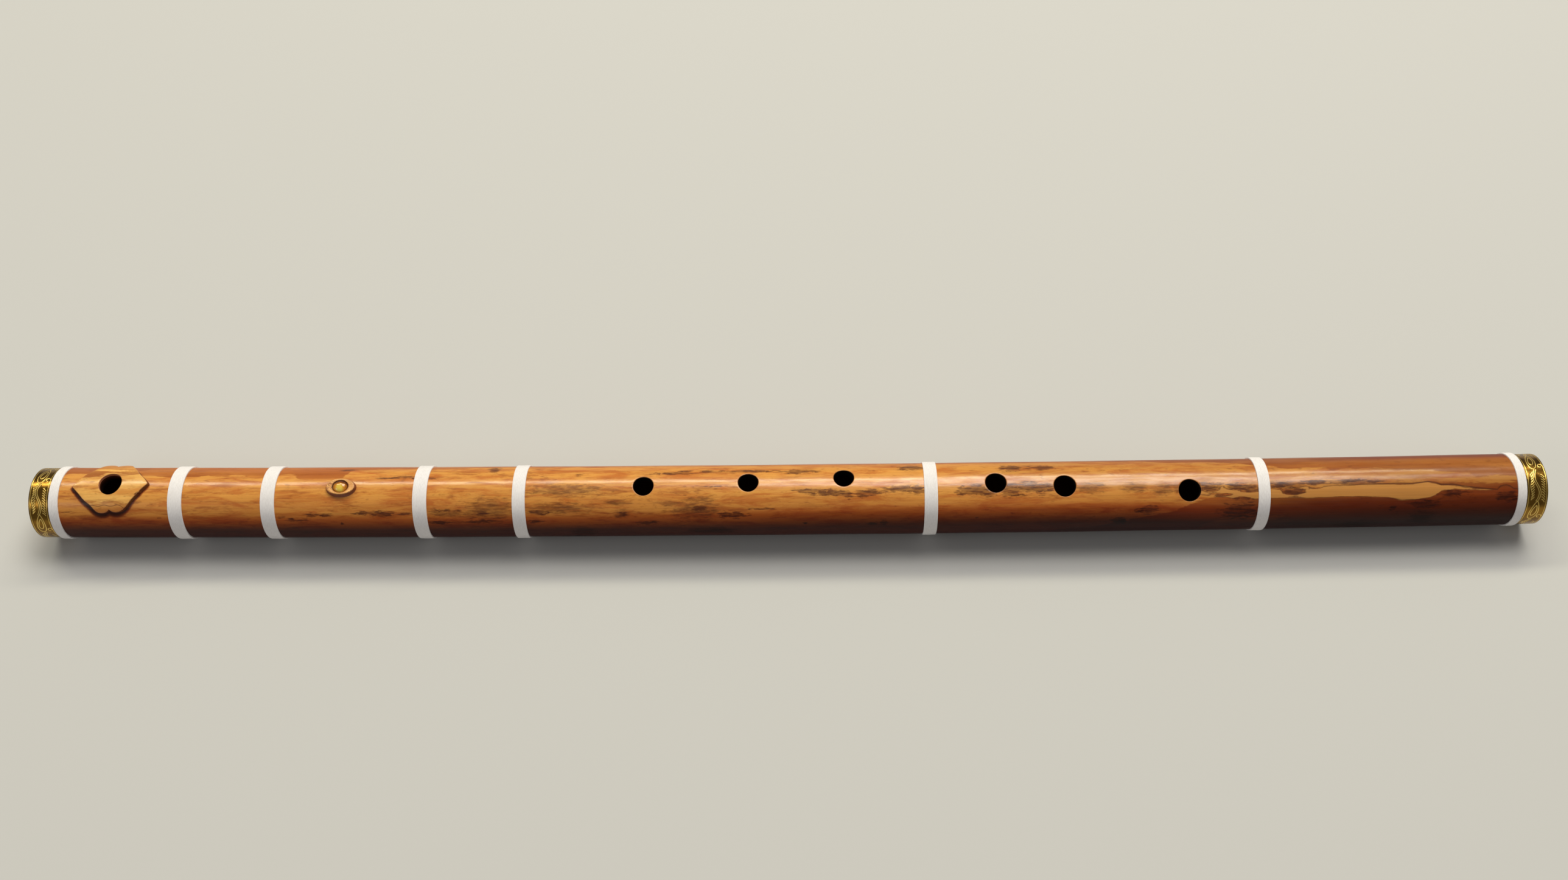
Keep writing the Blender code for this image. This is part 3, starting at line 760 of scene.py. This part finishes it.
# %% Rings of points that join the skin to the bore through a hole
cell = np.arange(CELLS)
border_c = np.concatenate([cell, np.full(CELLS, CELLS), CELLS - cell, 0 * cell])
border_i = np.roll(border_c, CELLS)
SKIN_SHARES = np.array([0.3, 0.55, 0.75, 0.9])
WALL_SHARES = np.array([0.18, 0.4, 0.62, 0.84])
BORE_ROUND = 0.2 * MM
# how much paler the blowing hole's wall is at its top, since the wall is painted darker deeper in as
# painted shade
PALE_TOP = 0.85


def hole_rings(place, angle, length, width, rim, border_place, border_angle):
    """Points and inside values of a hole's rings, from the skin to the bore.

    On the skin a ring is a share of the way from the border to the rim's circle. On the
    wall a point is at (l/2 cos t, w/2 sin t) across the hole, and its height is a share
    of the way from that of the skin, sqrt(R^2 - side^2), to that of the bore.
    """
    t = np.arctan2((border_angle - angle) * TUBE_RADIUS, border_place - place)
    rings, masks = [], []

    def add(points, wall, bore):
        rings.append(points)
        masks.append(np.broadcast_to([wall, bore, 0.0], points.shape))

    def oval(grow):
        return place + (length / 2 + grow) * np.cos(t), (width / 2 + grow) * np.sin(t)

    def spread(share, radius_of, grow, bore):
        along, side = oval(grow)
        p = border_place + share * (along - border_place)
        a = border_angle + share * (angle + np.arcsin(side / radius_of(along, angle)) - border_angle)
        add(round_tube(p, a, radius_of(p, a)), 0, bore)

    def drill(grow, share, drop, lift, wall):
        along, side = oval(grow)
        skin_up = np.sqrt(skin_radius(along, angle + np.arcsin(side / TUBE_RADIUS)) ** 2 - side ** 2)
        bore_up = np.sqrt(BORE_RADIUS ** 2 - side ** 2)
        add(lean(along, side, (1 - share) * (skin_up - drop) + share * (bore_up + lift), angle), wall, 0)

    for share in SKIN_SHARES:
        spread(share, skin_radius, rim, 0)
    for fall, rise in zip(*quarter(5)):
        drill(rim * fall, 0, rim * rise, 0, (1 - fall) ** 2)
    for share in WALL_SHARES:
        burnt_and_shaded = 1 - (PALE_TOP if rim == MOUTH_RIM else 0) * (1 - share) ** 2
        drill(0.03 * MM * np.sin(4 * t + 9 * share), share, rim, BORE_ROUND, burnt_and_shaded)
    for fall, rise in zip(*quarter(4)):
        drill(BORE_ROUND * rise, 1, 0, BORE_ROUND * fall, 1)
    for share in SKIN_SHARES[::-1]:
        spread(share, lambda p, a: BORE_RADIUS, BORE_ROUND, 1)
    return np.stack(rings), np.stack(masks)


# %% Drill every hole, and make the tube
tube_points = [round_tube(place_grid, angle_grid, radius_grid).reshape(-1, 3)]
tube_inside = [inside_grid.reshape(-1, 3)]
tube_faces = []
keep = np.ones((rows, AROUND), bool)
total = rows * AROUND
last_bore = rows - 1
column_step = 2 * np.pi / AROUND
for hole in HOLES:
    i0, k0 = (int(np.argmin(abs(line - (hole[0] - PATCH)))) for line in (skin_places, bore_places))
    c0 = int(round(hole[1] / column_step)) - CELLS // 2
    keep[np.ix_(first_skin + i0 + cell, (c0 + cell) % AROUND)] = False
    keep[np.ix_(last_bore - k0 - 1 - cell, (c0 + cell) % AROUND)] = False
    points, inside = hole_rings(*hole, skin_places[i0 + border_i], (c0 + border_c) * column_step)
    border_columns = (c0 + border_c) % AROUND
    skin_border = (first_skin + i0 + border_i) * AROUND + border_columns
    bore_border = (last_bore - k0 - border_i) * AROUND + border_columns
    numbers = total + np.arange(points[..., 0].size).reshape(points.shape[:2])
    strip = np.concatenate([skin_border[None], numbers, bore_border[None]])
    tube_faces.append(strip.ravel()[grid_quads(*strip.shape, ring_rows=False)])
    tube_points.append(points.reshape(-1, 3))
    tube_inside.append(inside.reshape(-1, 3))
    total += numbers.size
tube_points = np.concatenate(tube_points)
tube_faces.append(grid_quads(rows, AROUND)[keep])
x, y, z = tube_points.T
p = (x - HEAD_X) / MM
a = (np.degrees(np.arctan2(y - np.polyval(BOW, x), z - AXIS_HEIGHT)) + 180) % 360 - 180
off, plate_shadow = beside_the_plate(p, a)
tone, streak = tone_of(p, a, off)
make_piece("tube", tube_points, tube_faces, bamboo, "bamboo", tone=tone, streak=streak,
           inside=np.concatenate(tube_inside), finish=finish_of(p, a, plate_shadow))

# %% [markdown]
# ## Lip plate
# The plate is a ring of the same kind as the tube's holes: its profile runs up the outer
# edge, over the rounded corner, across the top to the hole's rim, down the hole's wall, and
# back underneath. Across the plate it is wrapped round the tube.

# %% Wrap the plate round the tube
HOLE_RIM = 0.2 * MM
WALL_SLOPE = 0.5 * MM


def plate_ring(share, inset, radius, hole_grow):
    """Ring of the plate: a share of the way from its edge, pulled in, to the hole's rim."""
    outer = edge * (1 - inset / np.hypot(*edge.T))[:, None]
    half_sizes = np.array([MOUTH_LENGTH, MOUTH_WIDTH]) / 2 + hole_grow
    rim = half_sizes * np.stack([np.cos(edge_turn), np.sin(edge_turn)], -1)
    rim[:, 1] = PLATE_TOP * np.arcsin(rim[:, 1] / radius)
    flat = outer + share * (rim - outer)
    return MOUTH_PLACE + flat[:, 0], flat[:, 1] / PLATE_TOP, np.full(len(edge), radius)


rings = []
for share in np.linspace(0, 1, 5):
    radius = PLATE_FOOT + share * (PLATE_TOP - PLATE_CORNER - PLATE_FOOT)
    rings.append(plate_ring(0, -WALL_SLOPE * (1 - share), radius, 0))
for fall, rise in list(zip(*quarter(6)))[1:]:
    rings.append(plate_ring(0, PLATE_CORNER * rise, PLATE_TOP - PLATE_CORNER * fall, 0))
for share in (0.15, 0.3, 0.45, 0.6, 0.75, 0.88):
    rings.append(plate_ring(share, PLATE_CORNER, PLATE_TOP, HOLE_RIM))
for fall, rise in zip(*quarter(6)):
    rings.append(plate_ring(1, PLATE_CORNER, PLATE_TOP - HOLE_RIM * rise, HOLE_RIM * fall))
for radius in np.linspace(PLATE_TOP - HOLE_RIM, PLATE_FOOT, 5)[1:]:
    rings.append(plate_ring(1, PLATE_CORNER, radius, 0))
plate_place, plate_angle, plate_radius = (np.stack(part) for part in zip(*rings))
top_rings = plate_radius > PLATE_TOP - 0.5 * PLATE_CORNER
plate_radius += top_rings * 0.05 * MM * np.sin(plate_place / (2.1 * MM) + 3 * plate_angle)
plate_inside = np.zeros((*plate_place.shape, 3))
plate_inside[:5, :, 0] = 0.9
plate_inside[5:9, :, 0] = np.array([0.7, 0.4, 0.2, 0.05])[:, None]
plate_inside[-7:, :, 1] = np.array([0.2, 0.5, 0.8, 1, 1, 1, 1])[:, None]
print("lip plate rings:", plate_place.shape)

# %% [markdown]
# The plate's own colours: most of it is golden, with a browner band beyond the hole, a
# golden tongue in that band, a small knot, and a thin brown line above the lower lobes.

# %% Colour zones of the lip plate, and the piece
PLATE_UPPER = [
    (-16, 2), (-12, 2.6), (-8, 2.8), (-5, 3.4), (-3, 4.8), (0, 5.4), (4, 4.6), (8, 4.2), (12, 5), (16, 5)]
PLATE_LOWER = [(-16, -8.2), (-4, -8.4), (0, -7.6), (3, -7.4), (6, -8.2), (16, -8.2)]
x = (plate_place - MOUTH_PLACE) / MM
y = plate_angle * PLATE_TOP / MM
upper, lower = (np.interp(x, *zip(*line)) for line in (PLATE_UPPER, PLATE_LOWER))
tongue = 1.1 * (1 - np.hypot((x - 1) / 10, (y - 6.7 + 0.05 * x) / 0.9))
gold = np.maximum(np.minimum(upper - y, y - lower), tongue)
knot = 1 - np.hypot((x - 10.9) / 0.8, (y + 4) / 0.7)
contour = 2.4 * (y + 8.7 + 0.25 * np.sin(1.3 * x)) + 1.6 * np.clip(abs(x + 0.5) - 5.5, 0, 4)
rubbed = np.interp(np.degrees(plate_angle), [-40, -25, 18, 34], [0.3, 0.8, 0.8, 0.1])
nought = np.zeros(x.shape)
# The third field of streak is a little painted shade on the lower lobes.
make_piece(
    "lip_plate", round_tube(plate_place, plate_angle, plate_radius), [grid_quads(*plate_place.shape)],
    lip_bamboo, "lip_bamboo", tone=np.stack([gold, knot, nought + NO_SPOT], -1), inside=plate_inside,
    streak=np.stack([nought - FAR, contour, 0.12 * ramp(y, -8.6, -9.4)], -1),
    finish=np.stack([rubbed, nought, nought + NO_SHADOW], -1))

# %% [markdown]
# ## Thread bindings
# Thin white thread is wound tightly round the tube in bands and hides its own ends. From
# arm's length a band looks like a matte strip, and close by its turns show as fine ridges.
# The band is a closed ring whose outer side is a row of half-round ridges. The thread
# advances by one pitch for each turn, so the ridges are shifted by angle / 2 pi.

# %% Thread material
white_thread, shader, here = new_material("white_thread")
strands = noise(stretch(here, 5200, 900), 3, 0.6)
soiled = soft_step(noise(stretch(here, 120, 120)), 0.55, 0.9, 0, 0.25)
colour = mix(soft_step(strands, 0.25, 0.75), paint(221, 217, 219), paint(237, 234, 236))
colour = mix(soiled, colour, paint(222, 210, 196))
# painted shade: the thread is darker in the valleys between its turns
colour = mix(times(attribute(here, "ridge"), 0.4), colour, paint(192, 182, 172))
wire(shader, (strands, 0.3, 0.03), Base_Color=colour, Roughness=scaled(strands, 0.72, 0.9),
     Sheen_Weight=0.25, Sheen_Roughness=0.5)
print("material:", white_thread.name)

# %% Wind the eight bands
THREAD_TOP = 13.73 * MM
THREAD_FOOT = 13.1 * MM
PITCH = 0.3 * MM
RIDGE = 0.05 * MM
UNEVEN = 0.012 * MM
BAND_CORNER = 0.14 * MM
ROUND_POINTS = 160


def wind_band(name):
    """Band of thread: radius = top - RIDGE (1 - |sin(phase)|), with a phase of pi for each pitch."""
    start, end = span(name)
    falls, rises = (BAND_CORNER * part[:-1] for part in quarter(4))
    middle = np.linspace(start + BAND_CORNER, end - BAND_CORNER, int((end - start) / PITCH * 6))
    places, drops = profile(
        np.append(0, rises), np.append(THREAD_TOP - THREAD_FOOT, falls), start, end, middle, 0)
    place, angle = np.meshgrid(places, turns(ROUND_POINTS), indexing="ij")
    drops = drops[:, None]
    phase = np.pi * (place / PITCH - angle / (2 * np.pi))
    valley = (1 - abs(np.sin(phase))) * (drops < 0.5 * BAND_CORNER)
    uneven = UNEVEN * np.sin(3 * angle + place / (0.7 * MM)) * (drops < BAND_CORNER)
    radius = THREAD_TOP - UNEVEN - drops - RIDGE * valley + uneven
    make_piece(name, round_tube(place, angle, radius), [grid_quads(*place.shape)], white_thread,
               "white_thread", ridge=valley)


for name in BANDS:
    wind_band(name)

# %% [markdown]
# ## Brass ferrules
# A thin brass sleeve on each end keeps the bamboo from splitting and is engraved with
# leaves: outlines with two veins inside, and rows of short cuts like a feather's barbs.
# The pattern is drawn as lines on one repeat of the sleeve, laid flat. For every point of
# the grid the distance to the nearest line gives the depth of the cut, which is a narrow
# valley with a small burr at its sides. The repeat is then copied round the sleeve.

# %% Brass material
engraved_brass, shader, here = new_material("engraved_brass")
cut_depth = attribute(here, "cut")
tarnish_and_dark_reflection = noise(stretch(here, 260, 260), 5, 0.6)
scratches = noise(stretch(here, 900, 160), 3, 0.6)
# both brass colours are darker than clean brass: real tarnish, and a painted dark reflection
colour = mix(soft_step(tarnish_and_dark_reflection, 0.3, 0.75), paint(146, 108, 44), paint(102, 72, 27))
colour = mix(soft_step(cut_depth, 0.15, 0.7), colour, paint(240, 206, 116))
rough = calc("ADD", scaled(scratches, 0.14, 0.26), times(cut_depth, 0.2))
wire(shader, (scratches, 0.25, 0.03), Base_Color=colour, Roughness=rough, Metallic=1)
print("material:", engraved_brass.name)

# %% Lines of the engraving, for one repeat
REPEATS = 4
REPEAT_POINTS = 204
SLEEVE_ROWS = 72
SLEEVE_RADIUS = 13.15 * MM
SLEEVE_BORE = 12.5 * MM
SLEEVE_CORNER = 0.15 * MM
SLEEVE_LIP = 0.1 * MM
CUT_WIDTH = 0.14 * MM
CUT_DEPTH = 0.055 * MM
BORDER_PLACE, BORDER_WIDTH = 0.55 * MM, 0.1 * MM
REPEAT = 2 * np.pi * SLEEVE_RADIUS / REPEATS


def engraving_lines(width):
    """Points on the lines of one repeat, as (across the sleeve, round it).

    Each line is drawn in shares of the width and of the repeat: two leaf outlines, two
    veins, two rows of barbs, a wavy stem and a curl.
    """
    lines = []

    def draw(across, round_it):
        line = np.broadcast_arrays(width * across, REPEAT * round_it)
        lines.append(np.stack(line, -1).reshape(-1, 2))

    t = np.linspace(0, 2 * np.pi, 220)
    s = np.linspace(0, 1, 90)
    for size in (1, 0.55):
        bulge = size * 0.25 * np.sin(t) * abs(np.sin(t / 2)) ** 0.7
        draw(0.47 + bulge + 0.05 * np.cos(t), 0.24 + size * 0.2 * np.cos(t))
    for lift in (0, 0.09):
        draw(0.44 + lift + 0.12 * np.sin(2 * np.pi * s), 0.44 + 0.58 * s)
    starts = np.linspace(0.47, 0.93, 11)[:, None]
    barb = np.linspace(0, 1, 14)
    for across, reach, down in ((0.2, 0.13, 0.045), (0.7, 0.14, -0.05)):
        draw(across + reach * barb, starts + down * barb ** 1.6)
    draw(0.2 + 0.04 * np.sin(3 * np.pi * s), 0.46 + 0.48 * s)
    curl = np.linspace(0, 1.6 * np.pi, 60)
    reach = 0.13 * (1 - 0.1 * curl)
    draw(0.79 + reach * np.cos(curl), 0.1 + reach * np.sin(curl) * width / REPEAT)
    return np.concatenate(lines)


print("one repeat is %.1f mm round the sleeve" % (REPEAT / MM))

# %% Cut the engraving into both sleeves
def make_sleeve(name):
    """Brass sleeve: a closed ring whose skin is cut by the engraving."""
    start, end = span(name)
    width = end - start
    across = np.linspace(SLEEVE_CORNER, width - SLEEVE_CORNER, SLEEVE_ROWS)
    round_it = np.arange(REPEAT_POINTS) * REPEAT / REPEAT_POINTS
    lines = engraving_lines(width)
    away = np.full((SLEEVE_ROWS, REPEAT_POINTS), 1.0)
    for shift in (-REPEAT, 0, REPEAT):
        du = across[:, None, None] - lines[:, 0]
        dv = round_it[None, :, None] - lines[:, 1] - shift
        away = np.minimum(away, np.sqrt(du ** 2 + dv ** 2).min(-1))
    groove = np.exp(-(away / CUT_WIDTH) ** 2)
    burr = np.exp(-((away - 2.1 * CUT_WIDTH) / CUT_WIDTH) ** 2)
    from_end = np.minimum(across, width - across)
    cut = np.maximum(groove, np.exp(-((from_end - BORDER_PLACE) / BORDER_WIDTH) ** 2)[:, None])
    relief = (0.25 * burr - cut) * CUT_DEPTH

    falls, rises = (SLEEVE_CORNER * part[:-1] for part in quarter(4))
    end_places = np.concatenate([[SLEEVE_LIP, 0], rises])
    end_radii = np.concatenate([[SLEEVE_BORE, SLEEVE_BORE + SLEEVE_LIP], SLEEVE_RADIUS - falls])
    places, radii = profile(end_places, end_radii, 0, width, across, SLEEVE_RADIUS)
    place, radius = places[:, None], radii[:, None]
    pad = ((len(end_places), len(end_places)), (0, 0))
    cut, relief = (np.pad(np.tile(part, (1, REPEATS)), pad) for part in (cut, relief))
    angle = turns(REPEATS * REPEAT_POINTS)
    dents = 0.02 * MM * np.sin(3 * angle + place / (1.7 * MM)) * (radius > SLEEVE_RADIUS - 0.3 * MM)
    points = round_tube(start + place, angle, radius + relief + dents)
    make_piece(name, points, [grid_quads(*cut.shape)], engraved_brass, "engraved_brass", cut=cut)


for name in ("head_ferrule", "foot_ferrule"):
    make_sleeve(name)

# %% [markdown]
# ## Stone and wooden bezel
# The stone is a clear golden cabochon: domed, with no facets. It is real glass in the
# render, so the pocket under it is part of the bezel and has a gold-coloured floor, as a
# foil behind a stone would. Its colour also holds painted light: bright gold below its
# middle and dark brown towards its top. The bezel is an oval ring of light wood with a
# darker, slightly uneven wall, glued on the tube, so its foot follows the tube.

# %% Materials of the bezel and the stone
carved_wood, shader, here = new_material("carved_wood")
parts = split(attribute(here, "bezel_part", "Vector"))
grain = use(fibres, Vector=here, Along=90, Across=3600)
pits = use(flecks, Vector=stretch(here, 1500, 1700), Amount=0.48, Edge=0.1)["Mask"]
colour = mix(soft_step(grain["Flow"], 0.3, 0.7), paint(202, 136, 64), paint(234, 176, 96))
colour = mix(times(pits, 0.7), colour, paint(126, 52, 22))
colour = mix(parts["X"], colour, mix(grain["Lines"], paint(92, 38, 16), paint(146, 74, 32)))
colour = mix(parts["Y"], colour, paint(250, 206, 70))
height = calc("SUBTRACT", grain["Lines"], times(pits, 2))
wire(shader, (height, 0.6, 0.06), Base_Color=colour, Roughness=scaled(grain["Lines"], 0.42, 0.62),
     Coat_Weight=0.4, Coat_Roughness=0.22)

amber_glass, shader, here = new_material("amber_glass")
swirl = noise(stretch(here, 420, 700), 3, 0.5, 0.6)
# painted light inside the stone: bright gold in its lower middle, dark brown at its top
depth = calc("ADD", attribute(here, "glow"), times(calc("SUBTRACT", swirl, 0.5), 0.7))
colour = mix(soft_step(depth, 0, 0.45), paint(104, 46, 10), paint(230, 146, 34))
colour = mix(soft_step(depth, 0.4, 0.85), colour, paint(255, 222, 92))
wire(shader, Base_Color=colour, Roughness=scaled(swirl, 0.01, 0.05), Transmission_Weight=0.35, IOR=1.56)
print("materials:", carved_wood.name, amber_glass.name)

# %% Bezel
BEZEL_PLACE, BEZEL_ANGLE = 116.6 * MM, np.radians(-6.3)
BEZEL_SIZE = np.array([11.5, 7.3]) / 2 * MM
BEZEL_MOUTH = np.array([10.6, 6.4]) / 2 * MM
BEZEL_FOOT, BEZEL_TOP = TUBE_RADIUS - 0.15 * MM, 14.75 * MM
BEZEL_DROP, BEZEL_INSET = 0.25 * MM, 0.5 * MM
STONE_SIZE = np.array([5.8, 4.8]) / 2 * MM
STONE_TOP, STONE_GIRDLE, STONE_FOOT = 15.7 * MM, 14 * MM, 13.65 * MM
POCKET_FLOOR, POCKET_ROUND, POCKET_GAP = 13.5 * MM, 0.15 * MM, 0.12 * MM
oval = turns(128)


def oval_solid(rings, first_up, last_up):
    """Points and faces of a solid made of oval rings, given as (half sizes, height).

    A ring is (a cos t, b sin t) at a height from the centre line. The whole is turned
    round the centre line by the bezel's angle.
    """
    cos, sin = np.cos(oval), np.sin(oval)
    shape = [np.stack([a * cos, b * sin, up + 0 * oval], -1) for (a, b), up in rings]
    points, faces = closed_solid(np.stack(shape), (0, 0, first_up), (0, 0, last_up))
    return lean(BEZEL_PLACE + points[:, 0], points[:, 1], points[:, 2], BEZEL_ANGLE), faces


# of each ring: its half sizes, its height, how much it is wall, and how much golden floor
bezel = []
tube_up = np.sqrt(BEZEL_FOOT ** 2 - (BEZEL_SIZE[1] * np.sin(oval)) ** 2)
for share in np.linspace(0, 1, 9)[:-1]:
    flare = BEZEL_SIZE + (BEZEL_MOUTH - BEZEL_SIZE) * (1 - (1 - share) ** 1.6)
    uneven = 1 + 0.012 * np.sin(9 * oval + 4 * share) * share
    bezel.append((flare[:, None] * uneven, tube_up + share * (BEZEL_TOP - BEZEL_DROP - tube_up), 1, 0))
for step, (fall, rise) in enumerate(zip(*quarter(5))):
    size, up = BEZEL_MOUTH - BEZEL_INSET * rise, BEZEL_TOP - BEZEL_DROP * fall
    bezel.append((size, up, 0.9 * (1 - step / 4) ** 1.5, 0))
pocket = STONE_SIZE + POCKET_GAP
top_inner = BEZEL_MOUTH - BEZEL_INSET
for share in (0.25, 0.5, 0.75):
    dip = -0.06 * MM * np.sin(np.pi * share) + 0.03 * MM * np.sin(6 * oval + 9 * share)
    bezel.append((top_inner + share * (pocket + POCKET_ROUND - top_inner), BEZEL_TOP + dip, 0, 0))
for fall, rise in zip(*quarter(4)):
    bezel.append((pocket + POCKET_ROUND * fall, BEZEL_TOP - POCKET_ROUND * rise, 0.5, 0))
bezel += [(pocket, STONE_GIRDLE, 0.8, 0.2), (pocket, POCKET_FLOOR + 0.1 * MM, 0, 1)]
bezel += [(pocket * share, POCKET_FLOOR, 0, 1) for share in (0.8, 0.4)]
bezel_points, bezel_faces = oval_solid([ring[:2] for ring in bezel], BEZEL_FOOT, POCKET_FLOOR)
bezel_part = np.repeat([(wall, gold, 0) for _, _, wall, gold in bezel], len(oval), 0)
make_piece("gem_bezel", bezel_points, bezel_faces, carved_wood, "carved_wood",
           bezel_part=np.concatenate([bezel_part, [(1, 0, 0), (0, 1, 0)]]))

# %% Stone
stone_rings = [(STONE_SIZE * 0.9, STONE_FOOT), (STONE_SIZE * 0.97, STONE_FOOT + 0.06 * MM)]
stone_rings.append((STONE_SIZE, STONE_GIRDLE - 0.12 * MM))
for share in np.sin(np.linspace(0, np.pi / 2, 16))[:-1]:
    up = STONE_GIRDLE + (STONE_TOP - STONE_GIRDLE) * share
    stone_rings.append((STONE_SIZE * np.sqrt(1 - share ** 2.2), up))
stone_points, stone_faces = oval_solid(stone_rings, STONE_FOOT, STONE_TOP)
lit = (stone_points - stone_points[-1]) / STONE_SIZE[0]
# painted light: brightest a little towards -Y of the stone's middle, darker towards +Y
glow = 1.15 - 1.15 * np.hypot(lit[:, 0] - 0.02, lit[:, 1] + 0.3) - 0.3 * np.clip(lit[:, 1] - 0.2, 0, 1)
make_piece("gem", stone_points, stone_faces, amber_glass, "amber_glass", glow=glow)

# %% [markdown]
# ## Stopper cork
# A cork in the head end closes the bore behind the blowing hole. The player slides it to
# tune the octaves, so it rides on its own body. Cork is a soft brown with darker pores.

# %% Cork material and cork
stopper_cork, shader, here = new_material("stopper_cork")
cells = noise(stretch(here, 1400, 1400))
pores = use(flecks, Vector=stretch(here, 700, 700), Amount=0.42, Edge=0.05)["Mask"]
colour = mix(soft_step(cells, 0.3, 0.7), paint(178, 128, 82), paint(214, 168, 118))
colour = mix(times(pores, 0.8), colour, paint(96, 58, 34))
height = calc("SUBTRACT", cells, times(pores, 2))
wire(shader, (height, 0.7, 0.15), Base_Color=colour, Roughness=scaled(cells, 0.82, 0.95))

CORK_RADIUS = 9.85 * MM
CORK_ROUND = 0.6 * MM
start, end = span("head_cork")
falls, rises = (CORK_ROUND * part for part in quarter(7))
face_radii = np.linspace(0, CORK_RADIUS - CORK_ROUND, 12)[1:-1]
end_places = np.concatenate([0 * face_radii, rises])
end_radii = np.concatenate([face_radii, CORK_RADIUS - falls])
side_places = np.linspace(start + CORK_ROUND, end - CORK_ROUND, 12)[1:-1]
places, radii = profile(end_places, end_radii, start, end, side_places, CORK_RADIUS)
place, angle = np.meshgrid(places, turns(AROUND), indexing="ij")
pitted = 0.05 * MM * np.sin(place / (0.9 * MM) + 5 * angle) * np.sin(7 * angle)
cork_points, cork_faces = closed_solid(
    round_tube(place, angle, radii[:, None] - abs(pitted)), *round_tube(np.array([start, end]), 0, 0))
make_piece("head_cork", cork_points, cork_faces, stopper_cork, "stopper_cork", body="stopper")

# %% [markdown]
# ## Floor, light and camera
# The flute lies on a plain pale floor, whose paint is paler beyond the lamps' reach, so
# that its far edge has the tone of the world behind it. A long strip of light stands
# behind and above it, which draws one long reflection along the polished bamboo, as a
# window would. A larger lamp nearer overhead widens that reflection towards the foot, a
# small one beside the head puts a glint on the stone, and an even world fills the shadows.
# The camera looks down from the player's side, close by, so the ends of the flute lean
# outwards.

# %% Floor
HALF = 30.0
NEAR_PAINT, FAR_PAINT = (0.52, 0.515, 0.505, 1), (0.97, 0.965, 0.95, 1)
floor_mesh = bpy.data.meshes.new("floor")
corners = [(-HALF, -HALF, 0), (HALF, -HALF, 0), (HALF, HALF, 0), (-HALF, HALF, 0)]
floor_mesh.from_pydata(corners, [], [(0, 1, 2, 3)])
floor = add_object("floor", floor_mesh)
floor_paint, shader, here = new_material("pale_floor")
away = put("ShaderNodeVectorMath", {0: here}, operation="LENGTH").outputs["Value"]
wire(shader, Base_Color=mix(soft_step(away, 1.2, 5), NEAR_PAINT, FAR_PAINT), Roughness=0.9)
floor_mesh.materials.append(floor_paint)

# %% Lamps and world
def add_lamp(name, place, size, watts, tint):
    """Area lamp that points at the middle of the flute."""
    lamp = bpy.data.lights.new(name, "AREA")
    lamp.shape = "RECTANGLE"
    lamp.size, lamp.size_y = size
    lamp.energy = watts
    lamp.color = tint
    holder = add_object(name, lamp)
    holder.location = place
    x, y, z = place
    holder.rotation_euler = (np.arctan2(np.hypot(x, y), z), 0, np.arctan2(x, -y))
    print("%s: %.1f W at %.2f m" % (name, watts, np.linalg.norm(place)))


add_lamp("strip_box", (-0.2, 1.43, 1.94), (3.2, 0.28), 40, (1, 0.955, 0.75))
add_lamp("key", (0.5, 0.76, 2.08), (1.3, 0.9), 31.5, (1, 0.97, 0.89))
add_lamp("side_lamp", (-1.05, -0.56, 0.79), (0.4, 0.4), 1.5, (1, 0.98, 0.95))
world = bpy.data.worlds.new("studio")
world.use_nodes = True
sky = world.node_tree.nodes["Background"].inputs
sky["Color"].default_value = (1, 0.99, 0.97, 1)
sky["Strength"].default_value = 0.22
bpy.context.scene.world = world
bpy.context.scene.view_settings.view_transform = "Standard"

# %% Camera
camera_data = bpy.data.cameras.new("camera")
camera_data.lens = 33.378
camera_data.sensor_width = 36
camera_data.clip_start = 0.01
camera = add_object("camera", camera_data)
camera.location = (7.281 * MM, -277.067 * MM, 488.305 * MM)
camera.rotation_euler = np.radians([32.547, 0.913, -0.0837])
bpy.context.scene.camera = camera
